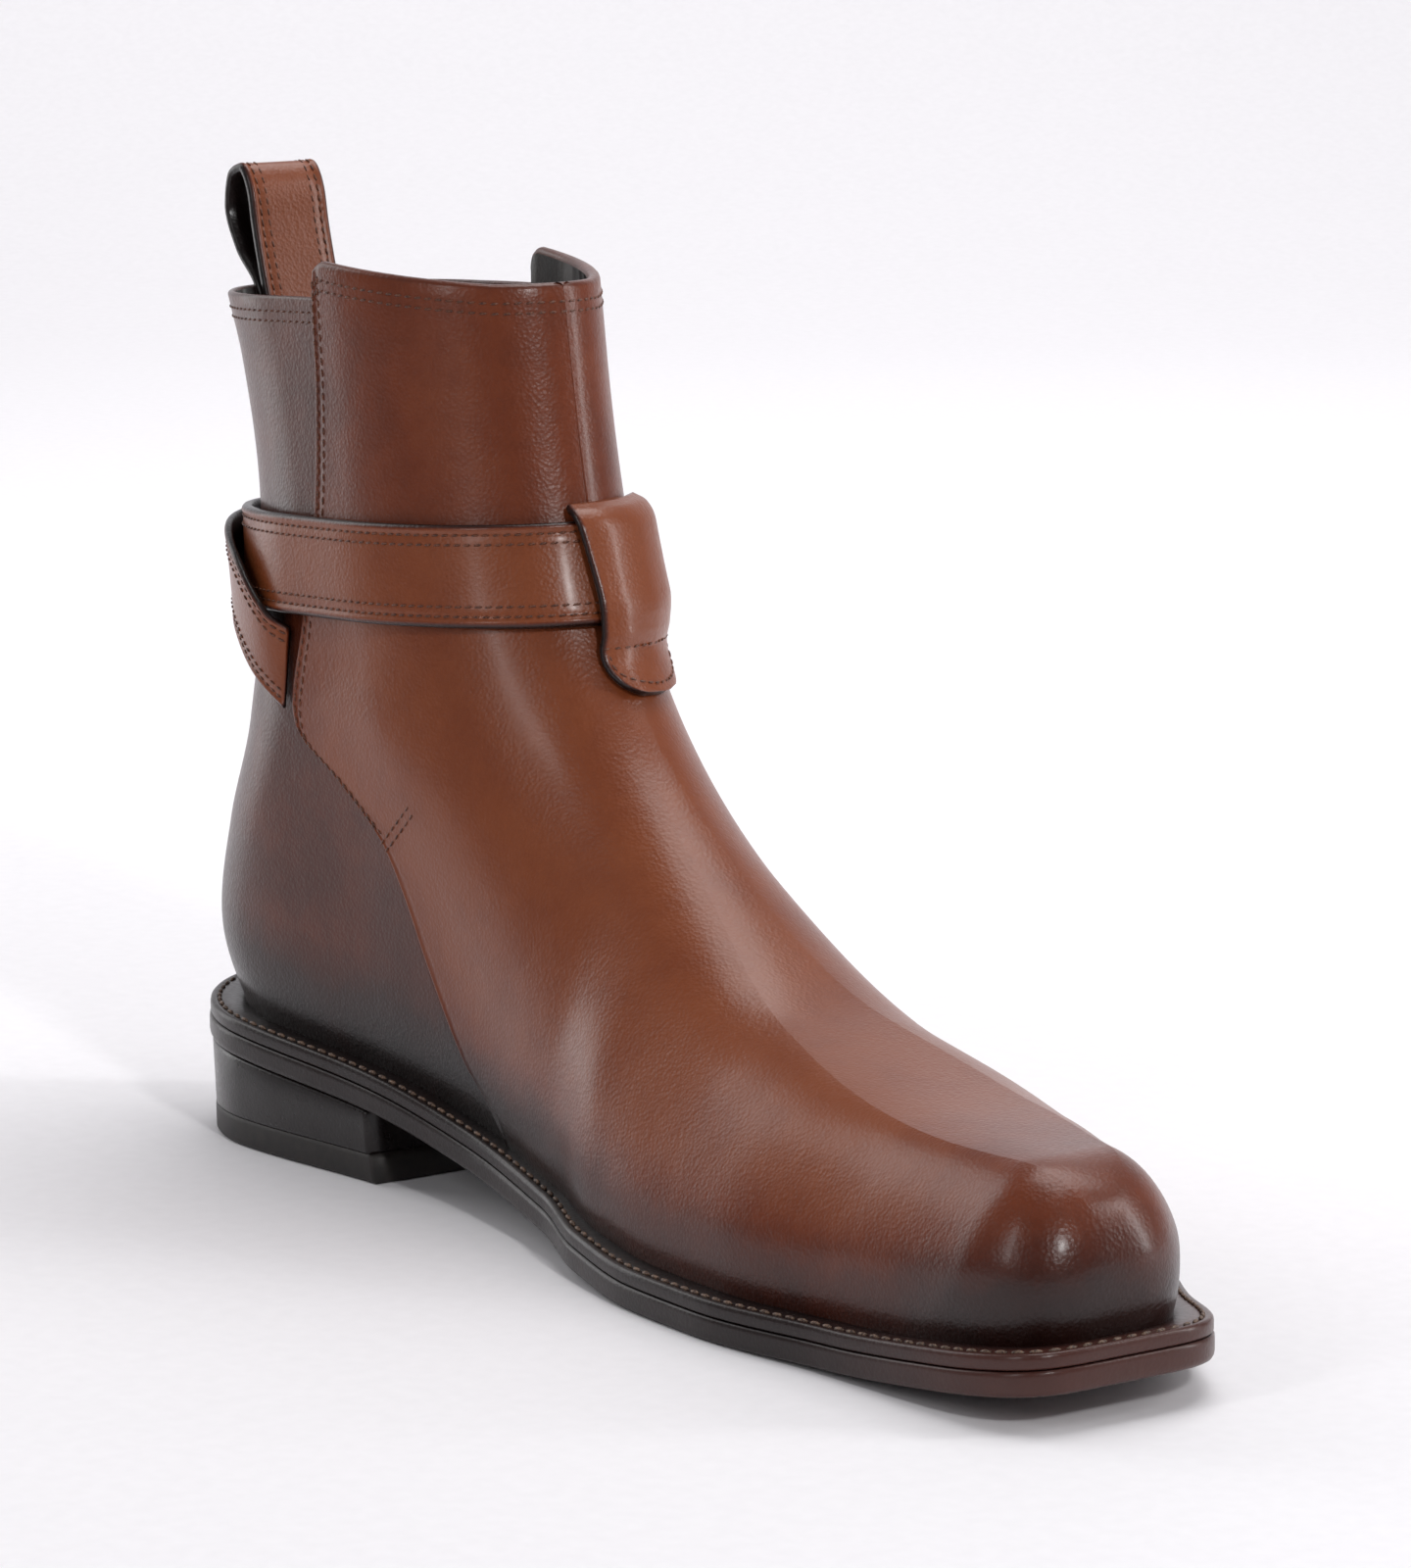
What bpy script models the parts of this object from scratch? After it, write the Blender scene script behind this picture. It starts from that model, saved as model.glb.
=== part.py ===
"""Jodhpur boot for the left foot, modelled as the pieces a shoemaker puts together.

Lengths in the tables are millimetres or shares of the named sizes. The functions
work in a frame whose x starts at the back of the heel and points to the toe, y
points to the outer (lateral) side and z points up from the floor. The finished
objects are in metres and the origin is the middle of the heel's rest face.
"""

import functools
import math

import bmesh
import bpy
from mathutils import Vector

# Main sizes in millimetres
LENGTH = 304.0
BALL_WIDTH = 106.0
BOOT_HEIGHT = 183.0
HEEL_SEAT = 21.4
BREAST = 78.5
OUTSOLE = 4.9
WELT = 3.1
TOP_PIECE = 6.0
WELT_HOLE = 11.5
BOARD_EDGE = 10.9
BOARD = 2.6
REST_X = 34.0
MM = 0.001

# Sole shape
TOE_POWER = 0.36
INNER_POWER = 0.55
TOE_ROUND = 37.0
HEEL_ROUND = 36.0
TOE_SWING = 18.0
SWING_START = 90.0

# Upper shape
WALL = 2.6
STEP = 1.1
SEAT_GAP = 0.3
BASE_POWER = 0.50
BOX_POWER = 0.82
BOX_START = 150.0
BOX_RISE = 24.0
UNDERCUT = 2.4
UNDERCUT_HEIGHT = 16.0
NOSE_RADIUS = 19.0
INSTEP_FILLET = 15.0
SHAFT_FRONT = 101.5
PIVOT = (60.0, 40.0)
LATERAL_SLOPE = 1.3
SHAFT_LEAN = 0.13
RING_SAG = 15.0
RINGS = 25
QUARTER_COLUMNS = 10
PANEL_COLUMNS = 15

# Straps and metal
STRAP_WIDTH = 20.0
STRAP = 2.0
STRAP_LEVEL = 126.5
SEAM_AT_STRAP = 52.0
BUCKLE_LIFT = 5.6
FRAME_FRONT_LIFT = 4.1
FRAME_CORNER = 3.0
FRAME_CLEAR = 2.2
BUCKLE_STRAP = 1.4
LOOP_LEATHER = 1.6
PULL_LEATHER = 1.8
PRONG = 1.0
LOOP_WIDTH = 24.0
PULL_WIDTH = 18.5
BAR = 1.3
BUCKLE_REAR = 33.0
BUCKLE_FRONT = 54.0

# Sole stations: share of length, inner half width, outer half width as shares of the
# ball width, then the height of the outsole's underside as a share of the heel seat
SOLE_ROWS = (
    (0.00, 0.335, 0.335, 1.000),
    (0.12, 0.335, 0.335, 0.880),
    (0.26, 0.300, 0.325, 0.700),
    (0.37, 0.283, 0.345, 0.440),
    (0.48, 0.312, 0.420, 0.200),
    (0.55, 0.366, 0.480, 0.080),
    (0.63, 0.388, 0.540, 0.000),
    (0.70, 0.379, 0.560, 0.000),
    (0.82, 0.312, 0.450, 0.045),
    (0.92, 0.275, 0.310, 0.180),
    (1.00, 0.265, 0.262, 0.330),
)

# Distance of the upper's widest line inside the sole's edge, by share of length
MARGIN_ROWS = (
    (0.00, 3.6),
    (0.30, 2.0),
    (0.45, 1.8),
    (0.65, 3.6),
    (1.00, 3.6),
)

# Vamp line: share of length, height as a share of the boot height
VAMP_ROWS = (
    (0.28, 0.640),
    (0.36, 0.560),
    (0.50, 0.405),
    (0.66, 0.274),
    (0.82, 0.240),
    (0.94, 0.238),
    (1.00, 0.236),
)

# Rounding depth of the section below the front line: share of length, millimetres
DEPTH_ROWS = (
    (0.20, 42.0),
    (0.35, 46.0),
    (0.50, 56.0),
    (0.66, 46.0),
    (0.82, 34.0),
    (1.00, 29.0),
)

# Leg: share of the boot height, half width, back line x, rounding of the back
LEG_ROWS = (
    (0.16, 33.0, 3.2, 34.0),
    (0.26, 33.0, -0.8, 35.0),
    (0.36, 32.5, 3.0, 36.0),
    (0.48, 31.5, 10.0, 38.0),
    (0.60, 30.0, 12.0, 39.0),
    (0.74, 28.5, 9.5, 40.0),
    (0.88, 27.8, 3.0, 39.0),
    (0.96, 28.0, -2.5, 38.0),
    (1.10, 28.0, -12.0, 38.0),
)

# Rear edge of the front panel: height above the floor, x
SEAM_ROWS = (
    (10.0, 125.0),
    (22.0, 118.5),
    (31.0, 109.0),
    (47.0, 97.5),
    (64.0, 88.0),
    (71.0, 83.0),
    (82.0, 68.0),
    (91.0, 53.5),
    (96.0, 52.0),
    (112.0, 54.0),
    (140.0, 57.0),
    (190.0, 57.0),
)


def clamp(value, low, high):
    return max(low, min(high, value))


def smooth(value):
    t = clamp(value, 0.0, 1.0)
    return t * t * (3.0 - 2.0 * t)


@functools.lru_cache(maxsize=None)
def column_of(rows, column):
    """Positions, values and tangents of one table column."""
    xs = [row[0] for row in rows]
    ys = [row[column] for row in rows]
    slopes = [(ys[i + 1] - ys[i]) / (xs[i + 1] - xs[i]) for i in range(len(xs) - 1)]
    tangents = [slopes[0]]
    for left, right in zip(slopes, slopes[1:]):
        same = left * right > 0.0
        tangents.append(2.0 * left * right / (left + right) if same else 0.0)
    tangents.append(slopes[-1])
    return xs, ys, tangents


def along(rows, column, t):
    """Smooth value of a table column at t, with no overshoot between the rows."""
    xs, ys, tangents = column_of(rows, column)
    if t <= xs[0]:
        return ys[0] + (t - xs[0]) * (ys[1] - ys[0]) / (xs[1] - xs[0])
    if t >= xs[-1]:
        return ys[-1] + (t - xs[-1]) * (ys[-1] - ys[-2]) / (xs[-1] - xs[-2])
    i = 0
    while xs[i + 1] < t:
        i += 1
    width = xs[i + 1] - xs[i]
    u = (t - xs[i]) / width
    start = (1 + 2 * u) * (1 - u) ** 2 * ys[i] + u * (1 - u) ** 2 * width * tangents[i]
    end = u * u * (3 - 2 * u) * ys[i + 1] - u * u * (1 - u) * width * tangents[i + 1]
    return start + end


def round_end(t):
    """Quarter of a circle: 0 at t = 0, level at 1 from t = 1 on."""
    t = clamp(t, 0.0, 1.0)
    return math.sqrt(max(0.0, 1.0 - (1.0 - t) ** 2))


# Sole functions

def underside(x):
    return along(SOLE_ROWS, 3, clamp(x / LENGTH, 0.0, 1.0)) * HEEL_SEAT


def feather(x):
    """Height of the welt's top, where the upper starts."""
    return underside(x) + OUTSOLE + WELT


def middle(x):
    """The centre line swings to the inner side towards the toe."""
    reach = max(0.0, (x - SWING_START) / (LENGTH - SWING_START))
    return -TOE_SWING * reach ** 1.6


def sole_width(x, side):
    column = 1 if side < 0 else 2
    return along(SOLE_ROWS, column, clamp(x / LENGTH, 0.0, 1.0)) * BALL_WIDTH


def sole_half(x, side, inset):
    power = TOE_POWER + (INNER_POWER - TOE_POWER) * smooth(inset / BOARD_EDGE)
    toe = round_end((LENGTH - inset - x) / (TOE_ROUND - inset)) ** power
    heel = round_end((x - inset) / (HEEL_ROUND - inset))
    return (sole_width(x, side) - inset) * toe * heel


# Upper functions

def front_depth(x, z):
    """Distance inside the front line: toe, rounded nose, vamp, instep and shaft."""
    vamp = (along(VAMP_ROWS, 1, x / LENGTH) * BOOT_HEIGHT - z) * 0.92
    shaft = SHAFT_FRONT + SHAFT_LEAN * (BOOT_HEIGHT - z) - x
    top = (vamp + shaft) / 2 + math.sqrt(((vamp - shaft) / 2) ** 2 + INSTEP_FILLET ** 2)
    toe = LENGTH - along(MARGIN_ROWS, 1, 1.0) - x
    low = max(NOSE_RADIUS - top, 0.0)
    fore = max(NOSE_RADIUS - toe, 0.0)
    if low == 0.0 and fore == 0.0:
        return min(top, toe)
    return NOSE_RADIUS - math.hypot(low, fore)


def tuck(x, z):
    """The upper draws in towards the welt at its lowest edge."""
    rise = clamp(1.0 - (z - feather(x)) / UNDERCUT_HEIGHT, 0.0, 1.0)
    return UNDERCUT * rise ** 2


def back_line(z):
    return along(LEG_ROWS, 2, z / BOOT_HEIGHT)


def upper_half(x, z, side):
    """Half width of the upper at one point of its side view."""
    height = z - feather(x)
    draw = tuck(x, z)
    foot = sole_width(x, side) - along(MARGIN_ROWS, 1, x / LENGTH)
    leg = along(LEG_ROWS, 1, z / BOOT_HEIGHT)
    rise = smooth((height - 25.0) / 75.0)
    wide = foot * (1.0 - rise) + leg * rise - draw
    box = 1.0 - (1.0 - BOX_POWER) * smooth((x - BOX_START) / (LENGTH - BOX_START))
    power = BASE_POWER + (box - BASE_POWER) * smooth(height / BOX_RISE)
    deep = along(DEPTH_ROWS, 1, x / LENGTH) * (1.0 if side < 0 else LATERAL_SLOPE)
    front = round_end((front_depth(x, z) - draw) / deep) ** power
    back = round_end((x - back_line(z) - draw) / along(LEG_ROWS, 3, z / BOOT_HEIGHT))
    return max(wide, 1.0) * front * back


def solve(inside, low, high):
    """Last value between low and high for which inside(value) holds."""
    for _ in range(24):
        mid = (low + high) / 2
        if inside(mid):
            low = mid
        else:
            high = mid
    return low


def ridge_point(angle):
    """Point of the front line seen from the pivot under an angle."""
    def inside(r):
        x = PIVOT[0] + r * math.cos(angle)
        z = PIVOT[1] + r * math.sin(angle)
        return front_depth(x, z) - tuck(x, z) > 0.0
    r = solve(inside, 10.0, 300.0)
    return PIVOT[0] + r * math.cos(angle), PIVOT[1] + r * math.sin(angle)


def front_line():
    """Front line from the toe's feather edge to the collar, with its arc length."""
    toe_x = LENGTH - along(MARGIN_ROWS, 1, 1.0) - UNDERCUT
    start = math.atan2(feather(toe_x) - PIVOT[1], toe_x - PIVOT[0])
    end = math.atan2(BOOT_HEIGHT - 1.0 - PIVOT[1], SHAFT_FRONT + 4.0 - PIVOT[0])
    points = [ridge_point(start + (end - start) * i / 240) for i in range(241)]
    run = [0.0]
    for a, b in zip(points, points[1:]):
        run.append(run[-1] + math.hypot(b[0] - a[0], b[1] - a[1]))
    return points, run


def at_run(points, run, share):
    want = share * run[-1]
    i = 0
    while i < len(run) - 2 and run[i + 1] < want:
        i += 1
    t = (want - run[i]) / (run[i + 1] - run[i])
    a, b = points[i], points[i + 1]
    return a[0] + (b[0] - a[0]) * t, a[1] + (b[1] - a[1]) * t


def top_shift(x, panel):
    """Collar edge against its straight chord: the front panel stands above the quarters."""
    if panel:
        return 1.0 + 4.5 * smooth((90.0 - x) / 38.0)
    return -2.0 + 0.5 * smooth(x / 50.0)


def ring_curve(v, points, run):
    """Side view of one ring: a function of the share from back to front."""
    fx, fz = at_run(points, run, v ** 1.12)
    low = feather(6.0)
    bz = low + (BOOT_HEIGHT - 8.0 - low) * v ** 0.95
    bx = back_line(bz) + tuck(6.0, bz)
    x0, z0 = back_line(low) + UNDERCUT, low
    x1, z1 = at_run(points, run, 0.0)

    def curve(s, panel):
        x = bx + (fx - bx) * s
        z = bz + (fz - bz) * s - RING_SAG * 16.0 * s * (1.0 - s) * v * (1.0 - v)
        chord = z0 + (z1 - z0) * clamp((x - x0) / (x1 - x0), 0.0, 1.0)
        z += (feather(clamp(x, x0, x1)) - chord) * (1.0 - v) ** 3
        lift = top_shift(x, panel) * clamp((v - 0.72) / 0.28, 0.0, 1.0) ** 2
        x += (back_line(z + lift) - back_line(z)) * (1.0 - s) - SHAFT_LEAN * lift * s
        z += lift
        return x, z
    return curve, fx - bx


def ring_stations(curve, length):
    """Shares from back to front, the last of the quarter just behind the panel's edge."""
    def behind(s):
        x, z = curve(s, False)
        return x < along(SEAM_ROWS, 1, z)
    seam = solve(behind, 0.0, 0.9)
    gap = 0.45 / length
    stations = []
    for i in range(QUARTER_COLUMNS + 1):
        turn = math.pi / 2 * i / QUARTER_COLUMNS
        stations.append(((seam - gap) * (1.0 - math.cos(turn)), False))
    for i in range(PANEL_COLUMNS + 1):
        turn = math.pi / 2 * i / PANEL_COLUMNS
        stations.append((seam + gap + (1.0 - seam - gap) * math.sin(turn), True))
    return stations


def upper_grid():
    """Rings of points: inner side from back to front, then outer side back again."""
    points, run = front_line()
    grid = []
    panel_flags = []
    for k in range(RINGS + 1):
        curve, length = ring_curve(k / RINGS, points, run)
        stations = ring_stations(curve, length)
        sides = []
        for side in (-1, 1):
            line = []
            for s, panel in stations:
                x, z = curve(s, panel)
                half = upper_half(x, z, side) if 0.0 < s < 0.9999 else 0.0
                line.append(Vector((x, middle(x) + side * half, z)))
            sides.append(line)
        grid.append(sides[0] + sides[1][:0:-1])
        flags = [panel for _, panel in stations]
        panel_flags = flags + flags[:0:-1]
    return grid, panel_flags


def grid_normals(grid):
    rows, count = len(grid), len(grid[0])
    front = QUARTER_COLUMNS + PANEL_COLUMNS + 1
    normals = []
    for i in range(rows):
        line = []
        for j in range(count):
            around = grid[i][(j + 1) % count] - grid[i][j - 1]
            if around.length < 1e-6:
                around = grid[i][(j + 2) % count] - grid[i][j - 2]
            upward = grid[min(i + 1, rows - 1)][j] - grid[max(i - 1, 0)][j]
            line.append(around.cross(upward).normalized())
        shared = (line[front] + line[front + 1]).normalized()
        line[front] = shared
        line[front + 1] = shared.copy()
        normals.append(line)
    return normals


# Objects

def material(name, red, green, blue, roughness, metallic=0.0):
    made = bpy.data.materials.new(name)
    made.use_nodes = True
    shader = made.node_tree.nodes["Principled BSDF"]
    shader.inputs["Base Color"].default_value = (red, green, blue, 1.0)
    shader.inputs["Roughness"].default_value = roughness
    shader.inputs["Metallic"].default_value = metallic
    made.diffuse_color = (red, green, blue, 1.0)
    return made


def make_object(name, vertices, faces, finish):
    """Closed object from points in the heel frame, in millimetres."""
    mesh = bpy.data.meshes.new(name)
    moved = [((p[0] - REST_X) * MM, p[1] * MM, p[2] * MM) for p in vertices]
    mesh.from_pydata(moved, [], faces)
    work = bmesh.new()
    work.from_mesh(mesh)
    bmesh.ops.remove_doubles(work, verts=work.verts, dist=0.000002)
    bmesh.ops.recalc_face_normals(work, faces=work.faces)
    work.to_mesh(mesh)
    work.free()
    mesh.shade_smooth()
    mesh.materials.append(finish)
    made = bpy.data.objects.new(name, mesh)
    home.objects.link(made)
    made.parent = root
    return made


def ring_stack(name, rings, finish, caps="across"):
    """Closed loft through equal rings, capped across or round, or joined end to end."""
    count = len(rings[0])
    vertices = [p for ring in rings for p in ring]
    faces = []
    spans = len(rings) - 1 if caps else len(rings)
    last = (len(rings) - 1) * count
    for i in range(spans):
        k = (i + 1) % len(rings)
        for j in range(count):
            n = (j + 1) % count
            faces.append((i * count + j, i * count + n, k * count + n, k * count + j))
    if caps == "round":
        faces.append(tuple(range(count)))
        faces.append(tuple(last + j for j in reversed(range(count))))
    if caps == "across":
        faces.append((0, 1, count - 1))
        faces.append((last, last + count - 1, last + 1))
        for j in range(1, count // 2):
            quad = (j, j + 1, count - j - 1, count - j)
            faces.append(quad)
            faces.append(tuple(last + q for q in quad[::-1]))
    return make_object(name, vertices, faces, finish)


def sole_ring(inset, height, count=36):
    """Outline of the sole at an inset, inner side first, back again on the outer side."""
    sides = []
    for side in (-1, 1):
        line = []
        for i in range(count + 1):
            turn = math.pi * i / count
            x = inset + (LENGTH - 2 * inset) * (1.0 - math.cos(turn)) / 2
            half = sole_half(x, side, inset) if 0 < i < count else 0.0
            line.append((x, middle(x) + side * half, height(x)))
        sides.append(line)
    return sides[0] + sides[1][:0:-1]


def heel_ring(inset, height, forward, count=18):
    """Heel outline from the back to the breast."""
    sides = []
    for side in (-1, 1):
        line = []
        for i in range(count + 1):
            turn = math.pi / 2 * i / count
            x = inset + (BREAST + forward - inset) * (1.0 - math.cos(turn))
            half = sole_half(x, side, inset) if i else 0.0
            line.append((x, side * half, height(x)))
        sides.append(line)
    return sides[0] + sides[1][:0:-1]


def build_sole():
    ground = [
        (0.0, lambda x: underside(x) + OUTSOLE - 0.05),
        (0.0, lambda x: underside(x) + 0.8),
        (0.8, lambda x: underside(x)),
    ]
    ring_stack("outsole", [sole_ring(m, h) for m, h in ground[::-1]], sole_leather)

    band = [
        (0.7, lambda x: underside(x) + OUTSOLE + 0.05),
        (0.5, lambda x: feather(x) - 0.6),
        (1.1, lambda x: feather(x)),
        (WELT_HOLE, lambda x: feather(x)),
        (WELT_HOLE, lambda x: underside(x) + OUTSOLE + 0.05),
    ]
    ring_stack("welt", [sole_ring(m, h) for m, h in band], welt_leather, caps="")

    board = [
        (WELT_HOLE + 0.5, lambda x: underside(x) + OUTSOLE + 0.2),
        (WELT_HOLE + 0.5, lambda x: feather(x) + 0.3),
        (BOARD_EDGE, lambda x: feather(x) + 0.3),
        (BOARD_EDGE, lambda x: feather(x) + BOARD),
    ]
    ring_stack("insole", [sole_ring(m, h) for m, h in board], lining_leather)

    stack = [
        (1.4, lambda x: TOP_PIECE + 0.05),
        (0.6, lambda x: underside(x) - 0.05),
    ]
    ring_stack("heel_stack", [heel_ring(m, h, 0.0) for m, h in stack], heel_leather)
    lift = [
        (1.8, lambda x: 0.0, 1.6),
        (1.2, lambda x: 0.6, 2.2),
        (1.2, lambda x: TOP_PIECE - 1.6, 1.4),
        (1.3, lambda x: TOP_PIECE, 0.2),
    ]
    ring_stack("heel_top_piece", [heel_ring(m, h, f) for m, h, f in lift], rubber)


def build_upper():
    """One hollow shell: the front panel stands a step above the quarters."""
    grid, flags = upper_grid()
    normals = grid_normals(grid)
    outer = []
    inner = []
    for i, line in enumerate(grid):
        out_line = []
        in_line = []
        for j, point in enumerate(line):
            normal = normals[i][j]
            if i == 0:
                normal = Vector((normal.x, normal.y, 0.0)).normalized()
            out_line.append(point - normal * (0.0 if flags[j] else STEP))
            in_line.append(point - normal * WALL)
        if i == 0:
            for p in out_line + in_line:
                p.z = feather(p.x) + SEAT_GAP
        outer.append(out_line)
        inner.append(in_line)
    rings = outer + inner[::-1]
    return ring_stack("upper", rings, calf, caps="")


# Straps, loops and buckle live in sheet coordinates: run around the leg from the back
# (towards the outer side positive), height, and distance off the upper's surface.

def leg_point(angle, z):
    """Point of the upper on a level ray from the leg's axis, 0 degrees at the front."""
    side = 1 if math.sin(angle) >= 0.0 else -1

    def inside(r):
        x = 48.0 + r * math.cos(angle)
        y = r * math.sin(angle)
        return abs(y - middle(x)) < upper_half(x, z, side)
    r = solve(inside, 3.0, 90.0)
    return Vector((48.0 + r * math.cos(angle), r * math.sin(angle), z))


def leg_girth():
    """Arc length around the leg at the strap's level, from the back to the front."""
    angles = [math.pi - math.pi * i / 120 for i in range(121)]
    points = [leg_point(a, STRAP_LEVEL) for a in angles]
    run = [0.0]
    for a, b in zip(points, points[1:]):
        run.append(run[-1] + (b - a).length)
    return angles, points, run


def angle_at(run):
    """Angle on the leg for a run; runs past the front carry on round the leg."""
    angles, _, runs = girth
    total = 2.0 * runs[-1]
    turns = math.floor((run + runs[-1]) / total)
    rest = run - turns * total
    size = abs(rest)
    i = 0
    while i < len(runs) - 2 and runs[i + 1] < size:
        i += 1
    t = (size - runs[i]) / (runs[i + 1] - runs[i])
    angle = angles[i] + (angles[i + 1] - angles[i]) * t
    return angle if rest >= 0.0 else -angle


def run_at(x):
    """Run of the outer side's point with this x."""
    _, points, runs = girth
    i = 0
    while i < len(points) - 2 and points[i + 1].x < x:
        i += 1
    t = (x - points[i].x) / (points[i + 1].x - points[i].x)
    return runs[i] + (runs[i + 1] - runs[i]) * t


def sheet(run, z, off):
    angle = angle_at(run)
    point = leg_point(angle, z)
    ahead = leg_point(angle + 0.01, z) - leg_point(angle - 0.01, z)
    above = leg_point(angle, z + 0.5) - leg_point(angle, z - 0.5)
    normal = ahead.cross(above).normalized()
    return point + normal * off


def fill(rows, steps):
    """Path samples between the rows of a table whose first column only counts up."""
    total = rows[-1][0]
    path = []
    for i in range(steps + 1):
        t = total * i / steps
        path.append([along(rows, c, t) for c in range(1, len(rows[0]))])
    return path


def heel_plane(run, z, off):
    """Flat counterpart of sheet at the back of the heel, for the free pull loop."""
    return Vector((-off, run, z))


def ribbon(name, path, width, thick, finish, across=2, slant_end=0.0, place=sheet):
    """Strip along a path of run, height, distance, slant in degrees, share of the
    width and roll, the extra distance of its upper edge."""
    centres = [Vector(p[:3]) for p in path]
    rings = []
    for k, centre in enumerate(centres):
        tangent = centres[min(k + 1, len(centres) - 1)] - centres[max(k - 1, 0)]
        tilt = math.radians(path[k][3])
        wide = width * path[k][4] if len(path[k]) > 4 else width
        roll = path[k][5] if len(path[k]) > 5 else 0.0
        over = Vector((math.sin(tilt), math.cos(tilt), 0.0))
        thin = tangent.cross(over).normalized() * (thick / 2)
        ring = []
        for sign in (-1, 1):
            for i in range(across + 1):
                reach = (i / across - 0.5) * wide * -sign
                p = centre + over * reach + thin * sign
                p.z += roll * 2.0 * reach / width
                if slant_end and k == len(centres) - 1:
                    p += tangent.normalized() * slant_end * reach / width
                ring.append(place(p.x, p.y, p.z))
        rings.append(ring)
    return ribbon_mesh(name, rings, across, finish)


def ribbon_mesh(name, rings, across, finish):
    count = len(rings[0])
    vertices = [p for ring in rings for p in ring]
    faces = []
    for i in range(len(rings) - 1):
        for j in range(count):
            n = (j + 1) % count
            a, b = i * count + j, i * count + n
            faces.append((a, b, b + count, a + count))
    last = (len(rings) - 1) * count
    for j in range(across):
        quad = (j, j + 1, count - j - 2, count - j - 1)
        faces.append(quad)
        faces.append(tuple(last + q for q in quad[::-1]))
    return make_object(name, vertices, faces, finish)


def tube(name, path, radius, finish, closed=True, sides=8):
    """Round bar along a path in sheet coordinates."""
    centres = [Vector(p) for p in path]
    rings = []
    total = len(centres)
    for k, centre in enumerate(centres):
        if closed:
            tangent = centres[(k + 1) % total] - centres[k - 1]
        else:
            tangent = centres[min(k + 1, total - 1)] - centres[max(k - 1, 0)]
        tangent.normalize()
        guide = Vector((0.0, 0.0, 1.0)) if closed else Vector((0.0, 1.0, 0.0))
        first = tangent.cross(guide).normalized()
        second = tangent.cross(first)
        ring = []
        for i in range(sides):
            turn = 2.0 * math.pi * i / sides
            p = centre + (first * math.cos(turn) + second * math.sin(turn)) * radius
            ring.append(sheet(p.x, p.y, p.z))
        rings.append(ring)
    return ring_stack(name, rings, finish, caps="" if closed else "round")


def cut_slot(target, run, z, off, length, width):
    """Slot through a strap for the buckle's prong, cut by a box along the strap."""
    corners = []
    for o in (off - 6.0, off + 6.0):
        for r, h in ((-length, -width), (length, -width), (length, width), (-length, width)):
            corners.append(sheet(run + r / 2, z + h / 2, o))
    faces = [(0, 1, 2, 3), (7, 6, 5, 4), (0, 4, 5, 1), (1, 5, 6, 2), (2, 6, 7, 3), (3, 7, 4, 0)]
    cutter = make_object("cut_" + target.name, corners, faces, calf)
    home.objects.unlink(cutter)
    cutters.objects.link(cutter)
    cutter.hide_render = True
    cutter.display_type = "WIRE"
    cut = target.modifiers.new("prong slot", "BOOLEAN")
    cut.operation = "DIFFERENCE"
    cut.solver = "EXACT"
    cut.object = cutter


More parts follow.
